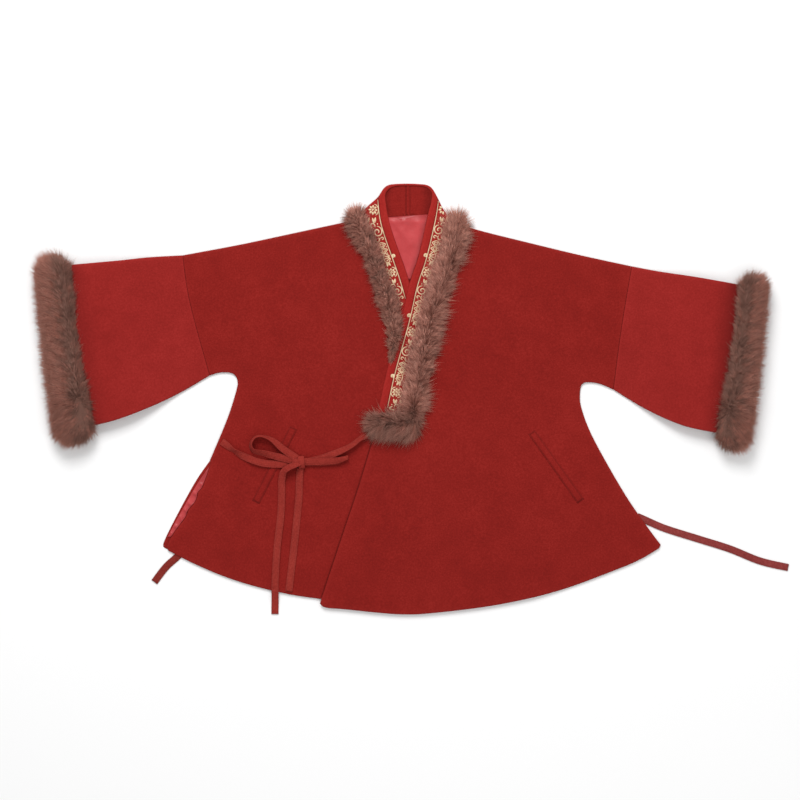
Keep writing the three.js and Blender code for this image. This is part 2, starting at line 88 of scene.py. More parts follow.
def evenly(points, pitch):
    """The same line with points at even steps of about the pitch, and the same ends."""
    travel = travelled(points)
    count = max(2, int(round(travel[-1] / pitch)) + 1)
    stops = np.linspace(0, travel[-1], count)
    return np.column_stack([np.interp(stops, travel, column) for column in points.T])


def edge(rows, pitch=4.0):
    return evenly(curve(rows), pitch)


def outline(*edges):
    """One outline, counterclockwise, from edges that meet end to end."""
    points = np.vstack(edges)
    points = points[np.linalg.norm(points - np.roll(points, 1, axis=0), axis=1) > SAME_POINT]
    x, y = points.T
    area = np.sum(x * np.roll(y, -1) - y * np.roll(x, -1))
    return points if area > 0 else points[::-1]


def looped(ring):
    """An outline that ends with its first point again."""
    return np.vstack([ring, ring[:1]])


def headings(line):
    """The way that a line runs at each of its points, as unit vectors."""
    along = np.gradient(line, axis=0)
    return along / (np.linalg.norm(along, axis=1)[:, None] + 1e-9)


def leftward(ways):
    return np.column_stack([-ways[:, 1], ways[:, 0]])


def travelled(line):
    """The length of a line up to each of its points."""
    return np.append(0, np.cumsum(np.linalg.norm(np.diff(line, axis=0), axis=1)))


def offset_from(points, chain):
    """Signed distance of points from a chain: positive on the left of the way it runs."""
    nearest = np.full(len(points), np.inf)
    side = np.ones(len(points))
    for start, step in zip(chain, np.diff(chain, axis=0)):
        away = points - start
        t = np.clip(away @ step / (step @ step), 0, 1)[:, None]
        away = away - t * step
        distance = np.hypot(*away.T)
        closer = distance < nearest
        turn = np.where(step[0] * away[:, 1] - step[1] * away[:, 0] >= 0, 1, -1)
        side = np.where(closer, turn, side)
        nearest = np.where(closer, distance, nearest)
    return nearest * side


def smooth(value, start, end):
    t = np.clip((value - start) / (end - start), 0, 1)
    return t * t * (3 - 2 * t)


def folds(points, table):
    """The height that a table of folds adds: soft ridges, or troughs where it is negative."""
    total = np.zeros(len(points))
    for x0, y0, x1, y1, width, height in table:
        along = np.array([x1 - x0, y1 - y0], float)
        length = np.hypot(*along)
        away = points - [x0, y0]
        t = away @ along / length ** 2
        across = (away[:, 0] * along[1] - away[:, 1] * along[0]) / length
        sway = 0.4 * width * np.sin(5 * t + x0)
        ends = smooth(t, -0.25, 0.3) * (1 - smooth(t, 0.7, 1.25))
        total += height * ends * np.exp(-((across - sway) / width) ** 2)
    return total


BACK_RING = outline(
    edge(SHOULDER_RIGHT), edge(SEAM_RIGHT), edge(UNDERARM_RIGHT), edge(SIDE_RIGHT), edge(SLIT_BACK),
    edge(HEM_BACK), edge(SIDE_LEFT)[::-1], edge(UNDERARM_LEFT)[::-1], edge(SEAM_LEFT)[::-1],
    edge(SHOULDER_LEFT)[::-1], edge(NECK_BACK)[::-1])

# The frame's origin is under the middle of the jacket, and SHIFT takes these tables there
back_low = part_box("back")[0]
SHIFT = np.array([
    back_low[0] / MM - curve(SLIT_BACK, 2)[:, 0].min(),
    back_low[1] / MM - curve(HEM_BACK, 2)[:, 1].min()])
BACK_LIFT, BACK_REACH = 0.7, 45.0    # how far its folds lift it, and from how far inside its edge


def back_foot(points):
    """The back's underside, which stands off the surface a little in its folds."""
    inside = np.maximum(0, offset_from(points, looped(BACK_RING)))
    return (1 - np.exp(-inside / BACK_REACH)) * np.clip(folds(points, BACK_FOLDS), 0, BACK_LIFT)


def mesh_piece(name, points, faces, material, **values):
    """An object from points in these tables' millimetres, with its place in its mesh."""
    mesh = bpy.data.meshes.new(name)
    placed = (np.asarray(points, float) + [*SHIFT, 0]) * MM
    mesh.from_pydata(placed.tolist(), [], [[int(i) for i in face] for face in faces])
    for key, value in values.items():
        value = np.asarray(value, np.float32)
        kind, field = ("FLOAT", "value") if value.ndim == 1 else ("FLOAT_VECTOR", "vector")
        mesh.attributes.new(key, kind, "POINT").data.foreach_set(field, value.ravel())
    mesh.materials.append(material)
    mesh.shade_smooth()
    piece = bpy.data.objects.new(name, mesh)
    bpy.context.scene.collection.objects.link(piece)
    return piece


RIM_ROWS = (0.6, 1.4, 2.6, 4.2, 6.4)      # rows of points inside an outline, for its rolled edge
THINNEST = 0.25


def spread(ring, pitch, lines=()):
    """Points inside an outline: rows close to it and along lines, then an even field."""
    along = np.roll(ring, -1, axis=0) - np.roll(ring, 1, axis=0)
    inward = leftward(along) / np.linalg.norm(along, axis=1)[:, None]
    closed = looped(ring)
    rows = [ring]
    for step in RIM_ROWS:
        row = ring + inward * step
        rows.append(row[offset_from(row, closed) > 0.9 * step])
    low, high = ring.min(axis=0), ring.max(axis=0)
    xs, ys = np.arange(low[0], high[0], pitch), np.arange(low[1], high[1], pitch * 0.866)
    field = np.array([(x + (j % 2) * pitch / 2, y) for j, y in enumerate(ys) for x in xs])
    field = field[offset_from(field, closed) > RIM_ROWS[-1] + 0.3 * pitch]
    for line, width, _ in lines:
        field = field[np.abs(offset_from(field, line)) > 1.6 * width + 0.5]
        line = evenly(line, 3.5)
        across = leftward(headings(line))
        beside_it = np.vstack([line + across * width * share for share in (-1.6, -0.8, 0, 0.8, 1.6)])
        rows.append(beside_it[offset_from(beside_it, closed) > 1.2])
    return np.vstack([*rows, field])


def cloth(name, ring, foot, rims, material, thick=CLOTH, pitch=7.0, grooves=()):
    """A closed sheet of cloth within an outline. foot gives the height of its underside. Each rim
    is a line with the width and depth by which the upper face rolls down to it, and each groove a
    line with its half width and depth, or height where it is negative. Near a rim the cloth is
    marked paler, as wear and as a painted highlight, and along a groove darker, for its seam line
    and as painted shade."""
    loop = [(i, (i + 1) % len(ring)) for i in range(len(ring))]
    places = [Vector(place) for place in spread(ring, pitch, grooves)]
    flat, _, faces, *_ = delaunay_2d_cdt(places, loop, [], 1, 1e-5)
    flat = np.array([tuple(p) for p in flat])
    faces = np.array(faces)
    a, b, c = (flat[faces[:, k]] for k in range(3))
    turn = (b - a)[:, 0] * (c - a)[:, 1] - (b - a)[:, 1] * (c - a)[:, 0]
    faces[turn < 0] = faces[turn < 0][:, ::-1]
    faces = faces[np.abs(turn) > 1e-7].tolist()
    under = foot(flat)
    drop, worn, dark = (np.zeros(len(flat)) for _ in range(3))
    # Painted highlight, with wear: the upper face is marked paler close to each rolled edge
    for line, width, depth in rims:
        distance = np.abs(offset_from(flat, line))
        share = np.clip(distance / width, 0, 1)
        drop = np.maximum(drop, depth * (1 - np.sqrt(share * (2 - share))))
        worn = np.maximum(worn, np.exp(-(distance / width) ** 2))
    # Painted shade: each groove also marks the cloth darker along it, for its seam line and the shade in it
    for line, width, depth in grooves:
        dip = np.exp(-(offset_from(flat, line) / width) ** 2)
        drop = drop + depth * dip
        dark = np.maximum(dark, dip * min(1, max(0, depth / 0.6)))
    over = under + np.maximum(thick - drop, THINNEST)
    count = len(flat)
    directed = {(f[k], f[(k + 1) % 3]) for f in faces for k in range(3)}
    walls = [(i + count, j + count, j, i) for i, j in sorted(directed) if (j, i) not in directed]
    corners = np.vstack([np.column_stack([flat, over]), np.column_stack([flat, under])])
    lower = [[i + count for i in face[::-1]] for face in faces]
    return mesh_piece(name, corners, faces + lower + walls, material,
                      worn=np.tile(worn, 2), dark=np.tile(dark, 2))


class Wire:
    """A socket in a net of nodes. Arithmetic on it adds Math nodes."""

    def __init__(self, net, socket):
        self.net = net
        self.socket = socket

    def math(self, operation, *values):
        return self.net.node("ShaderNodeMath", {"operation": operation}, *values)

    def __add__(self, other):
        return self.math("ADD", self, other)

    def __sub__(self, other):
        return self.math("SUBTRACT", self, other)

    def __rsub__(self, other):
        return self.math("SUBTRACT", other, self)

    def __mul__(self, other):
        return self.math("MULTIPLY", self, other)

    def __pow__(self, other):
        return self.math("POWER", self, other)

    __radd__ = __add__
    __rmul__ = __mul__


class Net:
    """The nodes of one tree."""

    def __init__(self, tree):
        self.tree = tree

    def put(self, socket, value):
        if isinstance(value, Wire):
            self.tree.links.new(value.socket, socket)
        elif socket.type == "RGBA":
            socket.default_value = (*value[:3], 1)
        else:
            socket.default_value = value

    def node(self, kind, settings=None, *values, out=None, **named):
        node = self.tree.nodes.new(kind)
        for key, value in (settings or {}).items():
            if key == "stops":
                for k, (place, colour) in enumerate(value):
                    stops = node.color_ramp.elements
                    stop = stops[k] if k < 2 else stops.new(place)
                    stop.position, stop.color = place, (*colour, 1)
            else:
                setattr(node, key, value)
        inputs = [socket for socket in node.inputs if socket.enabled]
        for socket, value in zip(inputs, values):
            self.put(socket, value)
        for key, value in named.items():
            self.put(next(s for s in inputs if s.name == key.replace("_", " ")), value)
        outputs = [socket for socket in node.outputs if socket.enabled]
        return Wire(self, outputs[0] if out is None else next(s for s in outputs if s.name == out))

    def vector(self, operation, *values, **named):
        return self.node("ShaderNodeVectorMath", {"operation": operation}, *values, **named)


class Finish(Net):
    """A material on one Principled shader, whose even values are given by name."""

    def __init__(self, name, **even):
        self.material = bpy.data.materials.new(name)
        self.material.use_nodes = True
        super().__init__(self.material.node_tree)
        self.shader = self.tree.nodes["Principled BSDF"]
        for key, value in even.items():
            self.put(self.shader.inputs[key.replace("_", " ")], value)
        self.place = self.node("ShaderNodeTexCoord", out="Object")

    def noise(self, scale, detail=2.0, vector=None):
        vector = vector or self.place
        return self.node("ShaderNodeTexNoise", None, Vector=vector, Scale=scale, Detail=detail)

    def value(self, name):
        return self.node("ShaderNodeAttribute", {"attribute_name": name}, out="Fac")

    def ramp(self, factor, *stops):
        return self.node("ShaderNodeValToRGB", {"stops": stops}, factor)

    def mix(self, factor, a, b):
        return self.node("ShaderNodeMix", {"data_type": "RGBA"}, factor, a, b)

    def bump(self, height, distance, strength=1.0):
        bump = self.node("ShaderNodeBump", None, Strength=strength, Distance=distance, Height=height)
        self.put(self.shader.inputs["Normal"], bump)

    def use(self, **links):
        for key, value in links.items():
            self.put(self.shader.inputs[key.replace("_", " ")], value)
        return self.material


def wool(name, deep, plain, bright):
    """Felted wool: a short nap with flecks, brushed a little unevenly, paler at rolled edges as wear
    and painted highlight, and darker in grooves for seam lines and painted shade.
    """
    finish = Finish(name, Sheen_Weight=0.05, Sheen_Roughness=0.5, Sheen_Tint=(1, 0.3, 0.25),
                    Specular_IOR_Level=0.12)
    brushed = finish.noise(6.0, 3.0)
    patches = finish.noise(34.0, 4.0)
    flecks = finish.noise(380.0, 3.0)
    fibres = finish.noise(1500.0, 2.0)
    tone = brushed * 0.16 + patches * 0.20 + flecks * 0.40 + fibres * 0.24
    colour = finish.ramp(tone, (0.34, deep), (0.68, bright), (0.5, plain))
    # Paler at rolled edges, as wear and as a painted highlight
    colour = finish.mix(finish.value("worn") * 0.3, colour, bright)
    # Darker along grooves, for seam lines and as painted shade
    colour = finish.mix(finish.value("dark") * 0.7, colour, [0.45 * part for part in deep])
    finish.bump(flecks * 0.6 + fibres * 0.4, 0.0009, 0.5)
    return finish.use(Base_Color=colour, Roughness=patches * 0.1 + 0.86)


BODY_WOOL = wool("wool_body", (0.168, 0.0068, 0.0052), (0.220, 0.0102, 0.0076), (0.292, 0.0185, 0.0145))


def dress(piece, node):
    """What every piece has: its body, and the node it stands for hidden."""
    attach(piece, "root")
    if node:
        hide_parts(node)
    return piece


FOLD = (5.0, 1.5)             # how a folded or turned edge rolls down: its width and depth
SEAM = (2.5, 0.9)             # the same at a seam


def rims(*lines, roll=FOLD):
    return [(edge(line), *roll) for line in lines]


back_panel = cloth(
    "jacket_back", BACK_RING, back_foot,
    rims(SHOULDER_RIGHT, SHOULDER_LEFT, UNDERARM_RIGHT, UNDERARM_LEFT, SIDE_RIGHT, SIDE_LEFT,
         SLIT_BACK, HEM_BACK),
    BODY_WOOL, pitch=9.0)
dress(back_panel, "back")

# ---- Fronts -----------------------------------------------------------------------------------
# Two wool fronts cut with flared sides. The left one laps over the right one to the right hip.
# Both lie loose on the back, so they stand off it a little inside their edges.
LOFT, LOFT_REACH = 2.0, 45.0  # how far they stand off, and over what distance inside the edge
CUFF_LIFT = 16.3
CUFF_RAMP = (46.0, 150.0)     # from a cuff inwards, where the sleeve comes down
LAP_FLAT, LAP_DOWN = 50.0, 120.0      # past the inner front's edge, where the lap comes down
SLIT_FRONT = [(-315, -100), (-320.5, -118), (-325, -130), (-329.6, -141), (-335.6, -147.6), (-337.2, -155),
              (-340, -162.5), (-346.4, -170), (-351.8, -177), (-355.4, -187), (-362, -196), (-365, -200),
              (-371.8, -209), (-379.6, -221), (-385.4, -233), (-383.2, -240.8)]
HEM_INNER = [(-383.2, -240.8), (-337, -264), (-281.9, -286.4), (-217.6, -304.6), (-148.8, -316.8),
             (-12.8, -330), (140.8, -322)]
HEM_OUTER = [(-140.8, -324.8), (-132, -331.5), (-100.8, -334.4), (-12.8, -342.4), (51.2, -339.2),
             (147.2, -326.4), (243.2, -304), (339.2, -268.8), (373.8, -253.4), (396, -240.4),
             (401.6, -236.6)]
LAP_INNER = [(64, -44.6), (140.8, -322)]
LAP_OUTER = [(-54.4, -57.6), (-78.4, -137.6), (-99.8, -201.6), (-140.8, -324.8)]
NECK_RIGHT = [(-73.6, 289.6), (-70.4, 268.8), (-57.6, 230.4), (-25.6, 128), (11.2, 0), (25.6, -48)]
NECK_LEFT = [(70.4, 284.8), (72.8, 268.8), (67.2, 230.4), (43.2, 114.4), (18.9, 24), (0, -51.3)]
FREE_RIGHT = [(-36, 334), (-32, 293.8), (-23, 260.8), (2.6, 186.6), (36.8, 60.8), (64, -41.6)]
FREE_LEFT = [(36.8, 335.2), (32, 296.6), (17, 230.9), (2.6, 186.6), (-11.2, 127), (-35.7, 37.3),
             (-54.4, -54.6)]
SLEEVE_TOP_RIGHT = [(-360, 231.2), (-413, 228), (-461, 222), (-525, 216), (-574, 212)]
SLEEVE_TOP_LEFT = [(357.6, 213.6), (403, 205), (451, 197), (515, 185.6), (562, 177)]
SLEEVE_UNDER_RIGHT = [(-316.8, 39.2), (-364.8, 11.2), (-412.8, -12), (-468.8, -33), (-544, -50)]
SLEEVE_UNDER_LEFT = [(328, 16.8), (379, -14.4), (427, -37), (467, -48), (540, -60)]
# The line where the fur of each cuff starts on the sleeve, from the bottom to the top
CUFF_START = {"right": [(-499, -32), (-532, 205)], "left": [(494, -40), (525, 185)]}
FRONT_FOLDS = [
    (-262, 60, -150, 150, 22, 1.3), (-285, 75, -215, 190, 16, 1.1), (262, 48, 170, 120, 22, 1.3),
    (300, 60, 240, 170, 18, 1.1), (-190, 235, -150, 120, 26, 0.8), (205, 225, 150, 110, 26, 0.9),
    (-250, -20, -300, -180, 26, 1.2), (-130, -150, -180, -300, 28, 1.0), (-20, -120, 0, -320, 34, 1.1),
    (110, -100, 150, -300, 32, 1.0), (225, -30, 320, -220, 30, 1.3), (60, 40, 130, -60, 26, 0.8),
    (-120, 60, -150, -20, 24, 0.7), (-90, -110, -100, -280, 12, -0.7), (60, -130, 95, -318, 14, -0.7),
    (180, -60, 245, -270, 16, -0.8), (-210, -160, -250, -290, 14, -0.7)]

silhouette = outline(
    edge(SHOULDER_RIGHT, 12), edge(SLEEVE_TOP_RIGHT, 12), edge(SLEEVE_UNDER_RIGHT, 12)[::-1],
    edge(UNDERARM_RIGHT, 6), edge(SIDE_RIGHT, 12), edge(SLIT_BACK, 12), edge(HEM_BACK, 12),
    edge(SIDE_LEFT, 12)[::-1], edge(UNDERARM_LEFT, 6)[::-1], edge(SLEEVE_UNDER_LEFT, 12),
    edge(SLEEVE_TOP_LEFT, 12)[::-1], edge(SHOULDER_LEFT, 12)[::-1], edge(NECK_BACK, 12)[::-1])
silhouette = looped(silhouette)
inner_lap_edge = np.vstack([edge(FREE_RIGHT, 10), edge(LAP_INNER, 10)])


def sleeve_lift(points):
    """How far the lower fur of a cuff carries the sleeve up."""
    inward = np.where(
        points[:, 0] < 0, -offset_from(points, np.array(CUFF_START["right"], float)),
        offset_from(points, np.array(CUFF_START["left"], float)))
    return CUFF_LIFT * (1 - smooth(inward, *CUFF_RAMP))


def unevenness(points):
    """Slow small waves, as in any laid cloth."""
    x, y = points.T
    return (0.22 * np.sin(x / 17 + 2.1 * np.sin(y / 41)) + 0.18 * np.sin(y / 14 + 1.7 * np.sin(x / 37) + 1)
            + 0.16 * np.sin((x + y) / 23 + 1.3 * np.sin((x - y) / 31) + 2))


def inner_foot(points):
    """Underside of the cloth that lies straight on the back or on a lower sleeve."""
    points = np.atleast_2d(np.asarray(points, float))[:, :2]
    inside = np.maximum(0, offset_from(points, silhouette))
    room = 1 - np.exp(-inside / LOFT_REACH)
    creases = np.maximum(folds(points, FRONT_FOLDS) + unevenness(points), -1.2)
    return CLOTH + GAP + LOFT * room + sleeve_lift(points) + room * creases


def outer_foot(points):
    """Underside of the outer front, which comes down on the back past the inner front's edge."""
    points = np.atleast_2d(np.asarray(points, float))[:, :2]
    past = offset_from(points, inner_lap_edge)
    return inner_foot(points) + (CLOTH + GAP) * (1 - smooth(past, LAP_FLAT, LAP_DOWN))


def inner_top(points):
    return inner_foot(points) + CLOTH


def outer_top(points):
    return outer_foot(points) + CLOTH


def moved(line, dx, dy=0.0):
    return line + [dx, dy]


def beside(rows, distance):
    """A line at a distance to the left of the way an edge runs, for a seam or a hem's stitching."""
    line = edge(rows)
    return line + leftward(headings(line)) * distance


INNER_RING = outline(
    edge(SHOULDER_RIGHT), edge(SEAM_RIGHT), edge(UNDERARM_RIGHT), edge(SIDE_RIGHT), edge(SLIT_FRONT),
    edge(HEM_INNER), edge(LAP_INNER)[::-1], edge(NECK_RIGHT)[::-1])
OUTER_RING = outline(
    edge(SHOULDER_LEFT), edge(SEAM_LEFT), edge(UNDERARM_LEFT), edge(SIDE_LEFT), edge(HEM_OUTER)[::-1],
    edge(LAP_OUTER)[::-1], edge(NECK_LEFT)[::-1])

front_inner = cloth(
    "front_right", INNER_RING, inner_foot,
    rims(SHOULDER_RIGHT, UNDERARM_RIGHT, SIDE_RIGHT, SLIT_FRONT, HEM_INNER, LAP_INNER)
    + rims(SEAM_RIGHT, NECK_RIGHT, roll=SEAM),
    BODY_WOOL, pitch=6.5,
    # Grooves: the line of the shoulder seam, and a painted shadow on the inner front along the lap's edge
    grooves=[(beside(SHOULDER_RIGHT, -7), 2.2, 0.2), (beside(LAP_OUTER, -0.6), 1.3, 0.6)])
dress(front_inner, "front_inner")
front_outer = cloth(
    "front_left", OUTER_RING, outer_foot,
    rims(SHOULDER_LEFT, UNDERARM_LEFT, SIDE_LEFT, HEM_OUTER, LAP_OUTER)
    + rims(SEAM_LEFT, NECK_LEFT, roll=SEAM),
    BODY_WOOL, pitch=6.5, grooves=[(beside(SHOULDER_LEFT, 7), 2.2, 0.2)])
dress(front_outer, "front_outer")

# ---- Lining -----------------------------------------------------------------------------------
# Rose satin, which lines the whole jacket and shows in the neck and down the open right side. It
# is cut a little large, so it lies in soft wrinkles.
LINING = 0.8                  # the satin's thickness
LINING_FOOT = CLOTH + GAP
SLIT_HEAD, SLIT_FOOT = -104.0, -221.0
LINING_FOLDS = [
    (-24, 290, -8, 258, 4, 1.2), (-6, 292, 1, 236, 3.5, 1.0), (20, 290, 9, 246, 5, 1.2),
    (8, 266, 3, 205, 3.5, 0.8), (-14, 262, -1, 218, 4, 0.8), (-30, 286, 28, 283, 3, 0.9),
    (-331, -132, -326, -144, 3, 2.2), (-344, -146, -333, -158, 3, 2.4),
    (-352, -162, -341, -170, 2.6, 2.2), (-357, -172, -350, -186, 2.6, 2.5),
    (-367, -186, -357, -196, 3, 2.3), (-375, -200, -366, -206, 2.6, 2.2),
    (-380, -212, -374, -218, 2.4, 1.8)]

satin = Finish("satin_lining", Sheen_Weight=0.1, Sheen_Tint=(1, 0.4, 0.4), Specular_IOR_Level=0.3)
ripple = satin.noise(60.0, 3.0)
threads = satin.noise(900.0, 2.0)
satin_colour = satin.ramp(
    ripple * 0.7 + threads * 0.3, (0.30, (0.41, 0.033, 0.036)), (0.70, (0.52, 0.054, 0.058)))
# Painted shade: the satin is darkened along its grooves
satin_colour = satin.mix(satin.value("dark") * 0.55, satin_colour, (0.20, 0.012, 0.013))
satin.bump(ripple * 0.85 + threads * 0.15, 0.0025, 0.35)
SATIN = satin.use(Base_Color=satin_colour, Roughness=ripple * 0.2 + 0.28)


def lining_foot(points):
    return LINING_FOOT + folds(points, LINING_FOLDS)


def stretch(rows, low, high):
    """The part of an edge between two heights."""
    line = edge(rows, 3)
    return line[(line[:, 1] >= low) & (line[:, 1] <= high)]


neck_ring = outline(
    moved(stretch(FREE_RIGHT, 190, 294), GAP), moved(stretch(FREE_LEFT, 190, 297), -GAP)[::-1])
lining_neck = cloth(
    "lining_in_neck", neck_ring, lining_foot, [], SATIN, thick=LINING, pitch=2.5,
    # Painted shade: the satin is darkened along the stand's lower edge and beside the left band's free edge
    grooves=[(np.array([(-34, 293.5), (34, 294.5)], float), 5.0, 0.4),
             (moved(stretch(FREE_LEFT, 196, 292), -2.0), 3.5, 0.4)])
dress(lining_neck, "lining_neck")
facing = stretch(SLIT_BACK, SLIT_FOOT, SLIT_HEAD - 14)
facing[:, 0] += np.interp(facing[:, 1], [SLIT_FOOT, SLIT_HEAD], [2.6, 6.0])
slit_edge = stretch(SLIT_FRONT, SLIT_FOOT, SLIT_HEAD)
slit_ring = outline(facing, moved(slit_edge, -2 * GAP)[::-1])
lining_slit = cloth(
    "lining_in_slit", slit_ring, lining_foot, [], SATIN, thick=LINING, pitch=2.2,
    # Painted shadow: the satin is darkened along the front's edge over it and at the head of the slit
    grooves=[(moved(slit_edge, -1.2), 2.0, 0.35),
             (np.array([(-315, -100), (-330, -130)], float), 6.0, 0.5)])
dress(lining_slit, "lining_slit")

# ---- Collar -----------------------------------------------------------------------------------
# A stand behind the neck, joined at its middle, and a band down each front. The bands cross, and
# each has a plain border of turned wool along its free edge, marked off by a line of stitches.
STAND_SIDES = [(-67, 293.1), (-64, 305), (-45, 323), (-33, 340), (-26, 344)]
STAND_TOP = [(-26, 344), (2, 345.5), (27, 344.5)]
STAND_OTHER = [(27, 344.5), (34, 338), (40, 331), (53, 305.6), (62, 293.1)]
# The outer and the inner edge of each band, from the middle of the neck: they start as a rim over
# the stand, and the outer one then folds over its side
BAND_RIGHT_OUT = [(-3.2, 345.8), (-20, 345.2), (-31, 343.6), (-39, 338), (-49, 323.5), (-69, 305),
                  (-73.6, 289.6)]
BAND_RIGHT_IN = [(-3.2, 342.4), (-16, 342), (-25.5, 340), (-33, 334.8), (-36.4, 327), (-35, 312),
                 (-32, 293.8), (-23, 260.8), (2.6, 186.6), (36.8, 60.8), (64, -41.6)]
BAND_LEFT_OUT = [(-3.2, 345.8), (14, 345.4), (30, 343.6), (39, 337.6), (47.5, 323), (56, 305.6),
                 (70.4, 284.8)]
BAND_LEFT_IN = [(-3.2, 342.4), (14, 342.2), (27.5, 340.6), (35, 336), (38.4, 328.5), (36.5, 314),
                (32, 296.6), (17, 230.9), (2.6, 186.6), (-11.2, 127), (-35.7, 37.3), (-54.4, -54.6)]
COLLAR_WOOL = wool(
    "wool_collar", (0.250, 0.0115, 0.0095), (0.306, 0.0155, 0.0125), (0.380, 0.0260, 0.0220))
BORDER = 12.6                 # from the free edge to the line of stitches
BAND_ROLL = (3.4, 1.4)        # how the bands' outer and free edges roll down
STAND_MIDDLE = -3.2
BAND_DOWN = (285, 332)        # the heights between which the bands come down to the stand
middle_seam = np.array([(STAND_MIDDLE, 346.0), (STAND_MIDDLE, 292.0)])
stand_ring = outline(edge(STAND_SIDES), edge(STAND_TOP), edge(STAND_OTHER))
# The seam with its turned cloth on both sides, a second line, and the hollows under the bands. The seam
# lines are marked darker, and the hollows are darkened with painted shade.
collar_stand = cloth(
    "collar_back_stand", stand_ring, lambda p: np.zeros(len(p)), [], BODY_WOOL,
    pitch=3.0, grooves=[(middle_seam, 0.9, 0.5), (moved(middle_seam, 3.0), 1.5, -0.5),
                        (moved(middle_seam, 6.4), 0.9, 0.35), (moved(middle_seam, -3.4), 1.6, -0.3),
                        (np.array([(-31, 293), (-35.5, 325), (-31, 336)], float), 4.5, 0.4),
                        (np.array([(30, 293), (35, 325), (31, 335)], float), 7.0, 0.4)])
dress(collar_stand, "collar_stand")


def on_stand(points, foot):
    """The underside of a band, which comes down to the stand behind the neck."""
    points = np.atleast_2d(np.asarray(points, float))[:, :2]
    down = smooth(points[:, 1], *BAND_DOWN)
    return foot(points) * (1 - down) + (CLOTH + GAP) * down


def inner_band_foot(points):
    return on_stand(points, inner_foot)


def outer_band_foot(points):
    return on_stand(points, outer_foot)


inner_band_ring = outline(
    edge(BAND_RIGHT_OUT, 3), moved(edge(NECK_RIGHT), GAP), edge(BAND_RIGHT_IN, 3)[::-1])
collar_inner = cloth(
    "collar_band_right", inner_band_ring, inner_band_foot,
    rims(BAND_RIGHT_IN, BAND_RIGHT_OUT, roll=BAND_ROLL) + rims(NECK_RIGHT, roll=SEAM),
    COLLAR_WOOL, pitch=4.0, grooves=[(beside(FREE_RIGHT, -BORDER), 1.3, 0.6)])
dress(collar_inner, "collar_band_inner")
outer_band_ring = outline(
    edge(BAND_LEFT_OUT, 3), moved(edge(NECK_LEFT), -GAP), edge(BAND_LEFT_IN, 3)[::-1])
collar_outer = cloth(
    "collar_band_left", outer_band_ring, outer_band_foot,
    rims(BAND_LEFT_IN, BAND_LEFT_OUT, roll=BAND_ROLL) + rims(NECK_LEFT, roll=SEAM),
    COLLAR_WOOL, pitch=4.0, grooves=[(beside(FREE_LEFT, BORDER), 1.3, 0.6)])
dress(collar_outer, "collar_band_outer")

# ---- Embroidery -------------------------------------------------------------------------------
# Cream silk worked over the inner part of both bands: a vine with flowers, cloud scrolls, leaves
# and fans, between a border cord and the fur. Every stroke is a domed row of satin stitch.
REPEAT = 100.0                # the length of one repeat of the pattern
CORD_AT = 13.4                # from the free edge to the border cord
CORD_WIDTH = 1.6
PATTERN_AT = 22.5             # from the free edge to the middle of the pattern
STROKE_FULL = 1.15            # how much wider than drawn the silk stands
silk = Finish("embroidery_silk", Sheen_Weight=0.2, Sheen_Tint=(1, 0.9, 0.7), Roughness=0.5)
strands = silk.node("ShaderNodeTexWave", {"bands_direction": "DIAGONAL"}, Vector=silk.place, Scale=420.0,
                    Distortion=2.0, Detail=1.0)
uneven = silk.noise(120.0, 3.0)
silk_colour = silk.ramp(
    uneven * 0.7 + strands * 0.3, (0.3, (0.56, 0.37, 0.20)), (0.75, (0.90, 0.72, 0.48)),
    (0.5, (0.79, 0.59, 0.36)))
silk.bump(strands, 0.0004, 0.5)
SILK = silk.use(Base_Color=silk_colour)


def arc(s, t, radius, start, end, shrink=1.0, steps=14):
    """Points of an arc about (s, t), from one angle to another in degrees, closing in by shrink."""
    angle = np.radians(np.linspace(start, end, steps))
    reach = radius * np.linspace(1, shrink, steps)
    return np.column_stack([s + reach * np.cos(angle), t + reach * np.sin(angle)])


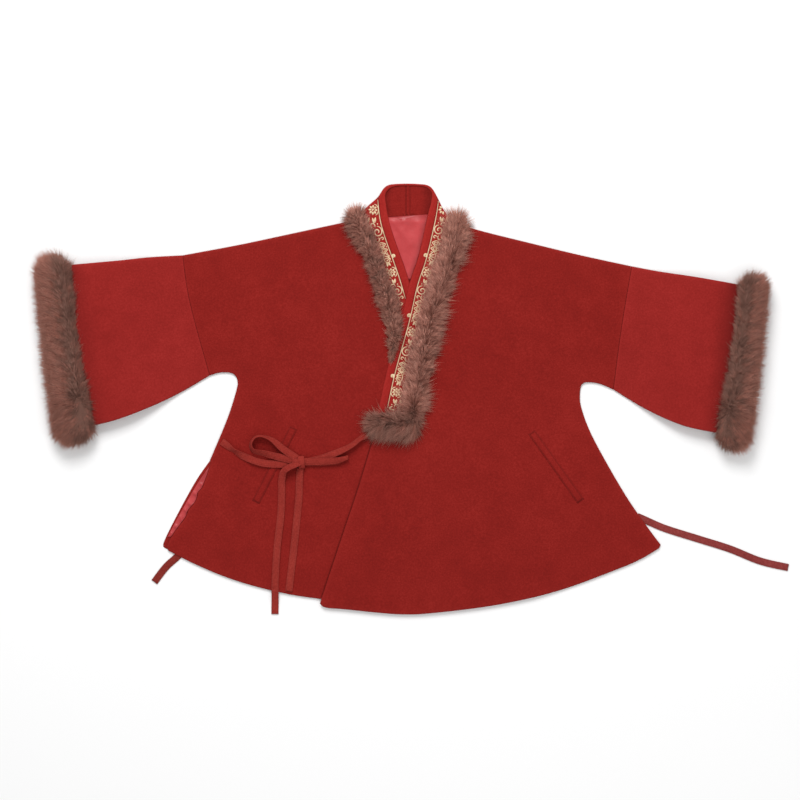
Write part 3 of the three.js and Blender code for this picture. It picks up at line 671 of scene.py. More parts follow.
def motif():
    """One repeat as strokes: points along the band and in from its free edge, with a width."""
    strokes = []

    def draw(points, width=1.7, pointed=False):
        strokes.append((np.asarray(points, float), width * STROKE_FULL, pointed))

    def ray(s, t, turn, start, end, width=1.6, pointed=False):
        way = np.array([math.cos(math.radians(turn)), math.sin(math.radians(turn))])
        draw(evenly(np.array([(s, t) + start * way, (s, t) + end * way]), 0.9), width, pointed)

    # a flower of eight petals in a ring, with leaves on both sides
    for k in range(8):
        ray(18, PATTERN_AT, 45 * k + 10, 2.6, 7.4, 3.3, True)
    draw(arc(18, PATTERN_AT, 1.3, 0, 300), 1.7)
    draw(arc(18, PATTERN_AT, 8.9, 200, 340, steps=18), 1.5)
    draw(arc(18, PATTERN_AT, 8.9, 20, 160, steps=18), 1.5)
    for s, t, turn in ((29, 20, 20), (29, 25, -5), (28, 30, 30), (7, 20, 160), (7, 25, 185), (8, 30, 150)):
        ray(s, t, turn, 0, 8.5, 3.2, True)
    # a cloud scroll between two small curls
    draw(arc(50, 22.2, 8.3, 190, 700, 0.16, 44), 1.8)
    draw(arc(40.2, 27.5, 4.2, 300, 30, 0.5), 1.7)
    draw(arc(61.5, 27.0, 4.6, 230, 520, 0.3, 22), 1.7)
    draw(arc(62.0, 18.2, 2.6, 100, 400, 0.5, 14), 1.6)
    # lozenges one behind the other
    for s in (71.5, 80.5):
        for reach, width in ((6.8, 1.6), (3.4, 1.3)):
            corners = [(s - 0.72 * reach, PATTERN_AT), (s, PATTERN_AT + reach),
                       (s + 0.72 * reach, PATTERN_AT), (s, PATTERN_AT - reach)]
            draw(evenly(looped(np.array(corners)), 1.1), width)
    # a fan that stands on the border cord, and its knob
    for turn in (38, 64, 90, 116, 142):
        ray(93.5, CORD_AT + 1.5, turn, 2.2, 10.2, 1.7)
    draw(arc(93.5, CORD_AT + 1.5, 11.6, 35, 145, steps=16), 1.6)
    draw(arc(93.5, CORD_AT - 2.6, 1.9, 0, 350), 2.9)
    # dots between them
    for s, t in ((1, 17), (1, 21), (39, 19), (66, 31.5), (76, 16.0), (76, 29.8), (86, 27), (86, 18)):
        draw([(s + 1, t), (s, t), (s - 1, t)], 2.0)
    return strokes


def tube_faces(rows, around, ring=False):
    """Faces of a tube whose corners run round each row in turn, closed at both ends, or of one
    that meets itself as a ring."""
    faces = []
    for i in range(rows if ring else rows - 1):
        ahead = ((i + 1) % rows - i) * around
        for k in range(around):
            a, b = i * around + k, i * around + (k + 1) % around
            faces.append((a, b, b + ahead, a + ahead))
    if not ring:
        faces += [list(range(around))[::-1], [(rows - 1) * around + k for k in range(around)]]
    return faces


# The section of a stroke: share of its width to the left, and height
STROKE_SECTION = ((0.5, -0.1), (0.32, 0.5), (0, 0.75), (-0.32, 0.5), (-0.5, -0.1))


def embroidery(name, free_rows, side, foot, first, last, band, over=None):
    """Strokes on a band between two distances from its upper end, as one piece. Those that would
    lie under the other band, whose outline is over, are left out."""
    free = edge(free_rows, 1.5)
    travel = travelled(free)
    along = headings(evenly(free, 6.0))
    stops = np.linspace(0, travel[-1], len(along))

    def on_band(line):
        s, t = line.T
        base = np.column_stack([np.interp(s, travel, free[:, k]) for k in range(2)])
        way = np.column_stack([np.interp(s, stops, along[:, k]) for k in range(2)])
        return base + side * t[:, None] * leftward(way)

    strokes = []
    for start in np.arange(first - REPEAT, last, REPEAT):
        for line, width, pointed in motif():
            line = line + [start, 0]
            if line[:, 0].min() > first + 1 and line[:, 0].max() < last - 1:
                strokes.append((line, width, pointed))
            elif len(line) > 30:
                kept = line[(line[:, 0] > first + 1) & (line[:, 0] < last - 1)]
                if len(kept) > 3:
                    strokes.append((kept, width, pointed))

    def shows(line):
        places = on_band(line)
        clear = offset_from(places, looped(band)) > 1.2
        return clear if over is None else clear & (offset_from(places, looped(over)) < -0.5)

    strokes = [stroke for stroke in strokes if shows(stroke[0]).all()]
    run = np.arange(first, last, 3.0)
    cord = np.column_stack([run, np.full(len(run), CORD_AT)])
    strokes.append((cord[shows(cord)], CORD_WIDTH, False))
    lines = [on_band(line) for line, _, _ in strokes]
    heights = np.split(foot(np.vstack(lines)) + CLOTH, np.cumsum([len(line) for line in lines])[:-1])
    corners, faces, count = [], [], 0
    for (_, width, pointed), line, height in zip(strokes, lines, heights):
        across = leftward(headings(line))
        u = np.linspace(0, 1, len(line))
        swell = np.clip(6 * np.minimum(u, 1 - u) + 0.5, 0, 1)
        if pointed:
            swell = np.sin(math.pi * u) ** 0.7 * 0.92 + 0.08
        rows = []
        for share, rise in STROKE_SECTION:
            row = line + across * (share * width * swell)[:, None]
            rows.append(np.column_stack([row, height + rise * (0.35 + 0.65 * swell)]))
        corners.append(np.stack(rows, axis=1).reshape(-1, 3))
        faces += [[count + k for k in face] for face in tube_faces(len(line), len(rows))]
        count += len(corners[-1])
    piece = mesh_piece(name, np.vstack(corners), faces, SILK)
    return dress(piece, None)


embroidery("embroidery_right", FREE_RIGHT, -1, inner_band_foot, 10.0, 196.0, inner_band_ring,
           outer_band_ring)
embroidery("embroidery_left", FREE_LEFT, 1, outer_band_foot, 10.0, 358.0, outer_band_ring)

# ---- Sleeves ----------------------------------------------------------------------------------
# Wide sleeves, an upper and a lower half each, sewn on at a dropped shoulder. Their wool is given
# a colour a shade lighter than the body's.
SLEEVE_WOOL = wool(
    "wool_sleeves", (0.205, 0.0098, 0.0080), (0.260, 0.0140, 0.0118), (0.330, 0.0225, 0.0195))
# Where each is pressed in beside the fur and darkened with painted shade: a line, half its width and its
# depth
HOLLOW_RIGHT = (np.array([(-496, -45), (-532, 205)], float), 15.0, 0.25)
HOLLOW_LEFT = (np.array([(499, -60), (524, 190)], float), 19.0, 0.6)
for side, out, hollow, seam, over, below in (
        ("right", -1, HOLLOW_RIGHT, SEAM_RIGHT, SLEEVE_TOP_RIGHT, SLEEVE_UNDER_RIGHT),
        ("left", 1, HOLLOW_LEFT, SEAM_LEFT, SLEEVE_TOP_LEFT, SLEEVE_UNDER_LEFT)):
    lines = [moved(edge(rows), out * GAP) for rows in (seam, over, below)]
    ring = outline(lines[0][::-1], lines[1], lines[2][::-1])
    size = (0.250, 0.285)
    edges = [(lines[1], *FOLD), (lines[2], *FOLD), (lines[0], *SEAM)]
    lower = cloth("sleeve_half_under_" + side, ring, sleeve_lift, edges[:2], SLEEVE_WOOL, pitch=12.0)
    dress(lower, f"sleeve_{side}_under")
    upper = cloth(
        "sleeve_half_upper_" + side, ring, inner_foot, edges, SLEEVE_WOOL, pitch=6.5,
        # A groove inside the lower edge, darkened as painted shade where the hem rolls, and the painted
        # shade beside the fur
        grooves=[(moved(beside(below, out * -8), out * GAP), 4.5, 0.28), hollow])
    dress(upper, f"sleeve_{side}_upper")

# ---- Fur --------------------------------------------------------------------------------------
# Long brown fur on a strip of hide: a ring round each sleeve's end, a strip down each side of the
# collar and one across its lower end. It is parted lengthwise, and its hairs hang in tufts.
COLLAR_FUR = 22.0             # how high it stands, half of it hide
HAIR_LONG = 0.0235            # the collar's hairs, in metres
COMB_FULL = 44.0              # a strip that is narrower than this has shorter hairs
# The two edges of each strip at steps along it: x, y of one and x, y of the other
FUR_INNER = [(-100, 298, -64, 304), (-98, 280, -58, 288), (-74, 230, -40, 236), (-60, 190, -29, 194),
             (-50, 152, -14, 156), (-41, 109, -9, 109), (-31, 62, -24, 62)]
FUR_OUTER = [(60, 296, 93, 298), (54, 274, 97, 278), (45, 230, 90, 232), (21, 152, 65, 155),
             (2, 78, 47, 80), (-11, 16, 37, 18), (-15, -5, 32, -5), (-7, -34, 25, -38)]
FUR_END = [(16, -9, 10, -66), (9, -9, 6, -72), (-15, -10, -18, -69), (-39, -13, -39, -64),
           (-57, -20, -56, -58), (-65, -29, -65, -49)]

fur = Finish("brown_fur", Specular_IOR_Level=0.15)
tip = fur.value("tip")
shade = fur.value("shade")
root_to_tip = fur.ramp(
    tip, (0.0, (0.28, 0.104, 0.074)), (1.0, (0.74, 0.410, 0.320)), (0.35, (0.44, 0.178, 0.130)),
    (0.7, (0.61, 0.278, 0.210)))
fur_colour = fur.mix(shade * 0.8, root_to_tip, fur.mix(tip, (0.13, 0.060, 0.044), (0.38, 0.195, 0.150)))
FUR = fur.use(Base_Color=fur_colour, Roughness=tip * 0.1 + 0.62)


def growth(name, **inputs):
    """A tree of Geometry Nodes that takes a geometry and these values, as its net and a function
    that gives a value by its name."""
    tree = bpy.data.node_groups.new(name, "GeometryNodeTree")
    for key, kind in {"Geometry": "Geometry", **inputs}.items():
        tree.interface.new_socket(key.replace("_", " "), in_out="INPUT", socket_type="NodeSocket" + kind)
    tree.interface.new_socket("Geometry", in_out="OUTPUT", socket_type="NodeSocketGeometry")
    sources = tree.nodes.new("NodeGroupInput")
    net = Net(tree)
    return net, lambda key: Wire(net, sources.outputs[key])


def finished(net, geometry):
    """The tree whose output this geometry is."""
    net.tree.links.new(geometry.socket, net.tree.nodes.new("NodeGroupOutput").inputs[0])
    return net.tree


def fur_tree():
    """Hairs grown on a hide: cones along its comb, wandering in tufts and gathered at their tips."""
    net, size = growth(
        "fur_growth", Hairs_per_square_metre="Float", Hair_length="Float", Hair_width="Float",
        Hair_joints="Int", Lift="Float", Wander="Float", Gather="Float", Seed="Int", Finish="Material")

    def named(name, kind="FLOAT"):
        return net.node("GeometryNodeInputNamedAttribute", {"data_type": kind}, name, out="Attribute")

    def store(geometry, name, value, kind="FLOAT", domain="POINT"):
        settings = {"data_type": kind, "domain": domain}
        return net.node("GeometryNodeStoreNamedAttribute", settings,
                        Geometry=geometry, Name=name, Value=value)

    place = net.node("GeometryNodeInputPosition")
    density = size("Hairs per square metre") * named("cover")
    scatter = net.node("GeometryNodeDistributePointsOnFaces", {"distribute_method": "RANDOM"},
                       Mesh=size("Geometry"), Density=density, Seed=size("Seed"), out="Points")
    upright = Wire(net, scatter.socket.node.outputs["Normal"])
    # the way each hair points: combed, lifted, in slow waves, in locks, and each a little astray
    waves = net.node("ShaderNodeTexNoise", None, Vector=place, Scale=55.0, Detail=2.0, out="Color")
    wander = net.vector("SCALE", net.vector("SUBTRACT", waves, (0.5,) * 3), Scale=size("Wander"))
    stray = net.node("FunctionNodeRandomValue", {"data_type": "FLOAT_VECTOR"}, (-0.2,) * 3, (0.2,) * 3,
                     Seed=size("Seed"))
    lock = net.node("ShaderNodeTexVoronoi", None, Vector=place, Scale=240.0, out="Color")
    lean = net.vector("SCALE", net.vector("SUBTRACT", lock, (0.5,) * 3), Scale=size("Wander") * 0.42)
    lifted = net.vector("SCALE", upright, Scale=size("Lift"))
    way = net.vector("ADD", named("comb", "FLOAT_VECTOR"), lifted)
    way = net.vector("ADD", net.vector("ADD", way, wander), net.vector("ADD", stray, lean))
    tufts = net.node("ShaderNodeTexVoronoi", None, Vector=place, Scale=110.0, out="Position")
    gather = net.vector("SUBTRACT", tufts, place)
    dusk = net.node("ShaderNodeTexNoise", None, Vector=place, Scale=85.0, Detail=1.0)
    lone = net.node("FunctionNodeRandomValue", {"data_type": "FLOAT"}, -0.25, 0.25, Seed=size("Seed"))
    points = store(scatter, "gather", gather, "FLOAT_VECTOR")
    tone = net.node("ShaderNodeSeparateXYZ", None, lock, out="X") - 0.5
    # Each hair's shade: random tone in blotches, per lock and per hair, plus the hide's darkening value,
    # which is partly painted shade
    points = store(points, "shade", (dusk - 0.42) * 1.8 + tone * 1.1 + lone + named("dusk"))
    # one hair as a cone, and the coat of them
    hair = net.node("GeometryNodeMeshCone", {"fill_type": "NGON"}, Vertices=3,
                    Side_Segments=size("Hair joints"), Radius_Top=0.0, Radius_Bottom=1.0, Depth=1.0)
    height = net.node("ShaderNodeSeparateXYZ", None, place, out="Z")
    hair = store(hair, "tip", height)
    length = net.node("FunctionNodeRandomValue", {"data_type": "FLOAT"}, 0.0, 1.0, Seed=size("Seed")) ** 3
    long = (length * 0.75 + 0.65) * size("Hair length") * named("reach")
    scale = net.node("ShaderNodeCombineXYZ", None, size("Hair width"), size("Hair width"), long)
    turn = net.node("FunctionNodeAlignRotationToVector", {"axis": "Z"}, Vector=way)
    coat = net.node("GeometryNodeInstanceOnPoints", None,
                    Points=points, Instance=hair, Rotation=turn, Scale=scale)
    coat = net.node("GeometryNodeRealizeInstances", None, coat)
    pull = named("tip") ** 1.6
    bent = net.vector("SCALE", named("gather", "FLOAT_VECTOR"), Scale=pull * size("Gather"))
    droop = net.node("ShaderNodeCombineXYZ", None, 0.0, 0.0, pull * size("Hair length") * -0.2)
    coat = net.node("GeometryNodeSetPosition", None, Geometry=coat, Offset=net.vector("ADD", bent, droop))
    coat = net.node("GeometryNodeSetShadeSmooth", None, coat)
    # the hide with it, and nothing below the surface
    whole = net.node("GeometryNodeJoinGeometry", None, size("Geometry"))
    net.put(whole.socket.node.inputs[0], coat)
    parts = [net.node("ShaderNodeSeparateXYZ", None, place, out=axis) for axis in "XYZ"]
    above = parts[2].math("MAXIMUM", parts[2], 0.0005)
    laid = net.node("ShaderNodeCombineXYZ", None, parts[0], parts[1], above)
    whole = net.node("GeometryNodeSetPosition", None, Geometry=whole, Position=laid)
    whole = net.node("GeometryNodeSetMaterial", None, Geometry=whole, Material=size("Finish"))
    return finished(net, whole)


def grown(piece, tree, **sizes):
    """The piece as a tree makes it, as a plain mesh in the same object."""
    modifier = piece.modifiers.new("growth", "NODES")
    modifier.node_group = tree
    for item in tree.interface.items_tree:
        key = item.name.replace(" ", "_").lower()
        if item.in_out == "INPUT" and key in sizes:
            modifier[item.identifier] = sizes[key]
    graph = bpy.context.evaluated_depsgraph_get()
    mesh = bpy.data.meshes.new_from_object(
        piece.evaluated_get(graph), preserve_all_data_layers=True, depsgraph=graph)
    piece.modifiers.remove(modifier)
    piece.data = mesh
    return piece


FUR_TREE = fur_tree()


def hide(name, sections, combs, cover, closed, reach=1.0, dusk=0.0):
    """The hide under the fur, from equal sections one after another, as a closed tube or ring.
    reach is the share of the full length that its hairs have, and the last argument makes them
    darker, partly for their own tone and partly as painted shade. The hide itself is marked dark,
    as painted shade in the gaps between the hairs."""
    sections, combs = np.array(sections), np.array(combs)
    rows, around = sections.shape[:2]
    faces = tube_faces(rows, around, closed)
    points = sections.reshape(-1, 3)
    corners = points[np.array([face[:3] for face in faces])]
    volume = np.einsum("ij,ij->", corners[:, 0], np.cross(corners[:, 1], corners[:, 2]))
    faces = faces if volume > 0 else [face[::-1] for face in faces]
    every = np.ones(len(points))
    # The hide is marked dark, as painted shade where it shows between the hairs
    return mesh_piece(name, points, faces, FUR, comb=combs.reshape(-1, 3), cover=np.ravel(cover),
                      reach=every * np.ravel(reach), dusk=every * np.ravel(dusk),
                      tip=every * 0, shade=every * 1.5)


HAIR = {"lift": 0.36, "finish": FUR}
DOME = np.radians(np.linspace(0, 180, 13))


def fur_strip(name, node, rows, top, seed, leans, hairs, keep, middle, dusk, hair=HAIR_LONG,
              blocked=None, parting=0.58):
    """A strip between two edges. keep is the part of its length that is made, and middle says
    where across it its hide runs at both ends. leans says how far its hairs lean along it, on its
    inner and its outer side, and parting where across it they part. No hair hangs past blocked."""
    near, far = (curve([row[k:k + 2] for row in rows], 8) for k in (0, 2))
    kept = slice(int(keep[0] * len(near)), int(math.ceil(keep[1] * len(near))))
    near, far = near[kept], far[kept]
    floor = top((near + far) / 2) + 2 * GAP
    count = len(near)
    sections, combs, covers, reach = [], [], [], []
    for i in range(count):
        across = far[i] - near[i]
        ahead, behind = min(i + 1, count - 1), max(i - 1, 0)
        along = near[ahead] - near[behind] + far[ahead] - far[behind]
        along = along / np.hypot(*along)
        u = i / (count - 1)
        end = min(1.0, 0.4 + 5 * min(u, 1 - u))
        rise = COLLAR_FUR * 0.5 * end
        centre = middle[0] + (middle[1] - middle[0]) * u
        section, comb = [], []
        for turn in DOME:
            share = centre - 0.26 * (0.6 + 0.4 * end) * math.cos(turn)
            place = near[i] + across * share
            section.append((*place, floor[i] + 0.4 + rise * math.sin(turn) ** 0.75))
            swerve = 0.09 * math.sin(0.33 * i + seed)
            away = float(np.interp(share + swerve - parting, (-0.34, 0, 0.24), (-0.75, 0, 1)))
            if blocked is not None and away < 0:
                away *= smooth(offset_from(place[None], blocked)[0], 4, 16)
            flat = across / np.hypot(*across) * away * (0.5 + 0.4 * math.sin(turn))
            ends = 0.9 * (max(0.0, 1 - 7 * (1 - u)) - max(0.0, 1 - 7 * u))
            flat = flat + along * (np.interp(away, [-1, 1], leans) + ends)
            comb.append((*flat, -0.4 * abs(math.cos(turn))))
        for share in (0.7, 0.3):
            section.append((*(near[i] + across * (centre + share - 0.5)), floor[i]))
            comb.append((0, 0, 0))
        sections.append(section)
        combs.append(comb)
        covers.append([1.0] * len(DOME) + [0.0, 0.0])
        reach.append([min(1, max(0.4, np.hypot(*across) / COMB_FULL))] * (len(DOME) + 2))
    piece = hide(name, sections, combs, covers, False, reach, dusk)
    grown(piece, FUR_TREE, hairs_per_square_metre=hairs, hair_length=hair, hair_width=0.0004,
          hair_joints=2, wander=1.0, gather=0.42, seed=seed, **HAIR)
    return dress(piece, node)


# Each strip is darkened or lightened as a whole, partly for its own tone and partly as painted shade
fur_strip("fur_collar_right", "fur_collar_inner", [row[2:] + row[:2] for row in FUR_INNER], inner_top,
          seed=11, leans=(-0.75, 0.1), hairs=1.2e6, keep=(0.04, 1), middle=(0.6, 0.38), dusk=0.05,
          hair=0.0195, blocked=edge(FREE_LEFT)[::-1])
fur_strip("fur_collar_left", "fur_collar_outer", FUR_OUTER, outer_top,
          seed=12, leans=(-0.8, 0.0), hairs=1.2e6, keep=(0.06, 1), middle=(0.5, 0.49), dusk=-0.3)
fur_strip("fur_collar_foot", "fur_collar_end", FUR_END, outer_top,
          seed=13, leans=(0.3, 0.5), hairs=1.1e6, keep=(0, 0.9), middle=(0.5, 0.5), dusk=0.3,
          parting=0.36)

# The way through a cuff, where the sleeve runs, and how far from the cuff's ends it stops
SLOT_LOW, SLOT_HIGH, SLOT_MIDDLE, SLOT_HALF, SLOT_END = 16.0, 22.9, 19.45, 3.45, 29.0
FUR_OVER, FUR_UNDER = 12.0, 11.5      # the hide's thickness above and below the sleeve
CUFF_SIZES = {
    "right": {"top": (-567, 237), "bottom": (-532, -77), "width": 66.0, "out": -1, "light": 0.5},
    "left": {"top": (551, 206), "bottom": (518, -86), "width": 55.0, "out": 1, "light": 0.3}}
for side, seed in (("right", 21), ("left", 22)):
    cuff = CUFF_SIZES[side]
    top, bottom = np.array(cuff["top"], float), np.array(cuff["bottom"], float)
    centre = (top + bottom) / 2
    half = np.hypot(*(top - bottom)) / 2
    down = (bottom - top) / (2 * half)
    out = np.array([-down[1], down[0]])
    out = out if out[0] * cuff["out"] > 0 else -out
    reach = half - SLOT_END
    turns = [(math.sin(a), math.cos(a)) for a in np.radians(np.linspace(12, 168, 12))]
    # Round the slot: the place down the cuff, the height, and the way out from there
    ring = np.vstack([
        [(v, SLOT_HIGH, 0, 1) for v in np.linspace(-reach, reach, 40)],
        [(reach + SLOT_HALF * a, SLOT_MIDDLE + SLOT_HALF * b, a, b) for a, b in turns],
        [(v, SLOT_LOW, 0, -1) for v in np.linspace(reach, -reach, 40)],
        [(-reach - SLOT_HALF * a, SLOT_MIDDLE - SLOT_HALF * b, -a, -b) for a, b in turns]])
    section_width = cuff["width"] / 2 - 9
    sections, combs, covers, dusk = [], [], [], []
    for v, z, nv, nz in ring:
        thick = FUR_OVER + math.sin(v / 19) * (nz > 0.5) if nz > -0.2 else FUR_UNDER
        section, comb, cover = [], [], []
        for turn in DOME:
            past = (abs(v) + abs(nv) * thick - half + cuff["width"] / 2) / section_width
            w = -math.cos(turn) * section_width * math.sqrt(1 - min(0.9, max(0.0, past)) ** 2)
            rise = 0.3 + thick * math.sin(turn) ** 0.7
            flare = 4.0 * smooth(np.array(v), half - 130, half - 50)
            flat = centre + down * (v + nv * rise) + out * (w * (1 + flare / section_width) - flare)
            section.append((*flat, z + nz * rise))
            parted = w / section_width + 0.1 * math.sin(v / 31 + seed)
            away = float(np.interp(parted, (-1, -0.8, -0.1), (-0.6, 0.1, 1.15)))
            fan = smooth(np.array(abs(v)), half - 105, half - 35) * math.copysign(1, v)
            along = 0.8 * fan - (0.65 - 0.4 * max(0, parted)) * (1 - abs(fan)) + 0.6 * nv * abs(nv)
            lean = out * away * (0.5 + 0.4 * math.sin(turn)) + down * along
            comb.append((*lean, -0.5 * abs(math.cos(turn)) * nz))
            cover.append(1.0 if nz > -0.5 else 0.2)
            # Painted shade: darker about the parting towards the sleeve, and the whole cuff lighter by its
            # light value, for how the light falls across the cuff
            dusk.append(1.5 * math.exp(-((w / section_width + 0.62) / 0.55) ** 2) - cuff["light"])
        for w in (0.6, -0.6):
            flat = centre + down * v - out * w * section_width
            section.append((*flat, z))
            comb.append((0, 0, 0))
            cover.append(0.0)
            dusk.append(0.0)
        sections.append(section)
        combs.append(comb)
        covers.append(cover)
    piece = hide("fur_cuff_" + side + "_sleeve", sections, combs, covers, True, dusk=dusk)
    grown(piece, FUR_TREE, hairs_per_square_metre=1.3e6, hair_length=0.0165, hair_width=0.00036,
          hair_joints=1, wander=0.7, gather=0.16, seed=seed, **HAIR)
    dress(piece, "fur_cuff_" + side)

# ---- Pocket welts -----------------------------------------------------------------------------
# A slanted pocket on each front, its opening closed by a narrow folded welt of the same wool that
# is sewn down at both ends.
WELT_WIDTH, WELT_HEIGHT = 13.0, 1.2
WELT_ROLL = (1.8, 0.9)
WELT_SEWN = 1.5               # from each end to the stitches across it
for side, ends, top, front in (
        ("right", [(-182.7, -44), (-243.2, -163.2)], inner_top, front_inner),
        ("left", [(197.4, -51.2), (275.7, -161.6)], outer_top, front_outer)):
    line = evenly(np.array(ends, float), 4.0)
    way = (line[-1] - line[0]) / np.hypot(*(line[-1] - line[0]))
    across = np.array([-way[1], way[0]]) * WELT_WIDTH / 2
    upper, lower = line + across, line - across
    ring = outline(upper, lower[::-1])
    # Stitch lines down both sides and across both ends, marked darker as seams, and along the sides as
    # painted shade beside the raised welt
    seams = [(upper - across * 0.26, 0.95, 0.42), (lower + across * 0.26, 0.95, 0.46),
             (np.array([upper[0], lower[0]]) + way * WELT_SEWN, 1.2, 0.8),
             (np.array([upper[-1], lower[-1]]) - way * WELT_SEWN, 1.2, 0.8)]
    welt = cloth("pocket_" + side, ring, lambda p, top=top: top(p) + GAP * 0.4,
                 [(looped(ring), *WELT_ROLL)], BODY_WOOL, thick=WELT_HEIGHT, pitch=2.2, grooves=seams)
    dress(welt, "pocket_welt_" + side)

# ---- Ties and bow -----------------------------------------------------------------------------
# Narrow strips of the same wool, folded and stitched flat. One comes from the side seam and one
# from the lower end of the outer front, and they are tied in a bow with two loops and two tails.
# Two more hold the fronts inside, and their ends come out at the sides of the hem.
TIE_WIDTH, TIE_THICK = 11.5, 1.5
KNOT = (-174.9, -99.2)
TIE_SIDE = [(-297.5, -66, .5), (-277.8, -80.3, .6), (-259.2, -91.2, 1.2), (-232, -100.5, 2.1),
            (-204.2, -102.4, 2.1), (-176, -100, 2.1)]
TIE_FRONT = [(-62.5, -54.8, .5), (-75.2, -60.8, .5), (-93.9, -74.7, .5), (-125.3, -88.6, .5),
             (-148.8, -96, .5), (-175, -101, .5)]
LOOP_SIDE = [(-172, -97.5, 3.4), (-182, -90, 4.8), (-198.7, -78.4, 4.8), (-218.9, -61.9, 2.8),
             (-240, -57.6, 2.2), (-250.4, -68.8, 2.2), (-246.4, -80.8, 2.2), (-229.9, -84.8, 2.6),
             (-211.5, -89.6, 4.2), (-176, -98, 4.4)]
LOOP_FRONT = [(-170, -99.4, 2.2), (-140.8, -99, 2.2), (-113.6, -97.0, 2.2), (-98.6, -92.6, 2.3),
              (-96.4, -91.8, 3.2), (-96.0, -91.6, 4.2), (-97.4, -91.8, 5.1), (-114, -96.4, 4.8),
              (-140.8, -98, 4.6), (-170, -98.4, 4.8)]
TAIL_LONG = [(-171, -98.5, 4.6), (-178, -102, 6.8), (-191, -108, 6.4), (-198.5, -115, 4.6),
             (-201.5, -130, 1.6), (-201.6, -148, .5), (-203.2, -185.6, .5), (-209.1, -238.4, .5),
             (-212.2, -290, .5), (-212.3, -304.5, .6), (-212.4, -318, -2), (-212.7, -330, -4.1),
             (-212.8, -342.4, -4.3)]
TAIL_SHORT = [(-172, -104, .5), (-173.6, -136, .5), (-174.4, -159.2, .5), (-182.4, -238.4, .5),
              (-190.4, -305.6, .5)]
TIE_INSIDE_RIGHT = [(-350, -226, 0), (-366, -247.5, 0), (-387.2, -267.2, 0), (-405.6, -291.2, 0)]
TIE_INSIDE_LEFT = [(352, -180, 0), (376, -190.4, 0), (411.2, -205.6, 0), (467.2, -223.2, 0),
                   (515.2, -238.4, 0), (563.2, -257.6, 0), (608, -268, 0)]
TIE_WOOL = wool("wool_ties", (0.190, 0.0150, 0.0105), (0.268, 0.0255, 0.0185), (0.350, 0.0420, 0.0310))
INNER_WOOL_RIGHT = wool(
    "wool_inner_tie_right", (0.142, 0.0130, 0.0090), (0.202, 0.0222, 0.0161), (0.262, 0.0365, 0.0270))
INNER_WOOL_LEFT = wool(
    "wool_inner_tie_left", (0.165, 0.0225, 0.0205), (0.234, 0.0375, 0.0345), (0.306, 0.0600, 0.0560))
STITCHED_AT = 0.72            # the stitching's place, as a share of a tie's half width
# Half of a tie's section: share of the half width, and share of the thickness above its middle
TIE_SECTION = [(1.0, 0.0), (0.97, 0.30), (0.90, 0.44), (0.80, 0.46), (0.72, 0.26), (0.64, 0.46), (0.3, 0.52)]
tie_profile = TIE_SECTION + [(-u, w) for u, w in TIE_SECTION[::-1]]
tie_profile = np.array(tie_profile + [(-u, -w) for u, w in tie_profile[1:-1]])


def ribbon(points, rolls, level, widths, ring=False):
    """Corners and faces of a flat tie along points of its middle, and the lines of its stitching.
    rolls and widths are given at each point, and level is the way across it, where that is the
    same all along, as on a folded tie."""
    count = len(points)
    along = headings(points)
    if ring:
        along = np.roll(points, -1, axis=0) - np.roll(points, 1, axis=0)
        along /= np.linalg.norm(along, axis=1)[:, None] + 1e-9
    rolls = np.radians(rolls)
    if level is None:
        level = np.column_stack([leftward(along), np.zeros(count)])
    else:
        level = np.tile(np.array(level, float), (count, 1))
    level /= np.linalg.norm(level, axis=1)[:, None] + 1e-9
    lift = np.cross(along, level)
    side = level * np.cos(rolls)[:, None] + lift * np.sin(rolls)[:, None]
    up = np.cross(along, side)
    share, rise = tie_profile.T
    corners = np.vstack([
        points[i] + np.outer(share * widths[i] / 2, side[i]) + np.outer(rise * TIE_THICK, up[i])
        for i in range(count)])
    faces = tube_faces(count, len(tie_profile), ring)
    seams = [points + side * (share * widths / 2)[:, None] + up * (0.3 * TIE_THICK)
             for share in (-STITCHED_AT, STITCHED_AT)]
    return corners, faces, seams


def stitch_tree():
    """Stitches at even steps along a line: flattened beads of thread that lie along it."""
    net, size = growth(
        "stitch_row", Step="Float", Stitch_length="Float", Thread_width="Float", Finish="Material")
    line = net.node("GeometryNodeMeshToCurve", None, size("Geometry"))
    line = net.node("GeometryNodeResampleCurve", {"mode": "LENGTH"}, Curve=line, Length=size("Step"))
    bead = net.node("GeometryNodeMeshIcoSphere", None, Radius=0.5, Subdivisions=1)
    way = net.node("GeometryNodeInputTangent")
    turn = net.node("FunctionNodeAlignRotationToVector", {"axis": "X"}, Vector=way)
    wide = size("Thread width")
    scale = net.node("ShaderNodeCombineXYZ", None, size("Stitch length"), wide, wide * 0.8)
    row = net.node("GeometryNodeInstanceOnPoints", None,
                   Points=line, Instance=bead, Rotation=turn, Scale=scale)
    row = net.node("GeometryNodeRealizeInstances", None, row)
    row = net.node("GeometryNodeSetShadeSmooth", None, row)
    row = net.node("GeometryNodeSetMaterial", None, Geometry=row, Material=size("Finish"))
    return finished(net, row)


STITCH_TREE = stitch_tree()
thread = Finish("sewing_thread", Sheen_Weight=0.1, Roughness=0.6)
ply = thread.node("ShaderNodeTexWave", {"bands_direction": "DIAGONAL"}, Vector=thread.place, Scale=900.0)
THREAD = thread.use(Base_Color=thread.ramp(ply, (0.2, (0.11, 0.008, 0.006)), (0.8, (0.20, 0.016, 0.012))))


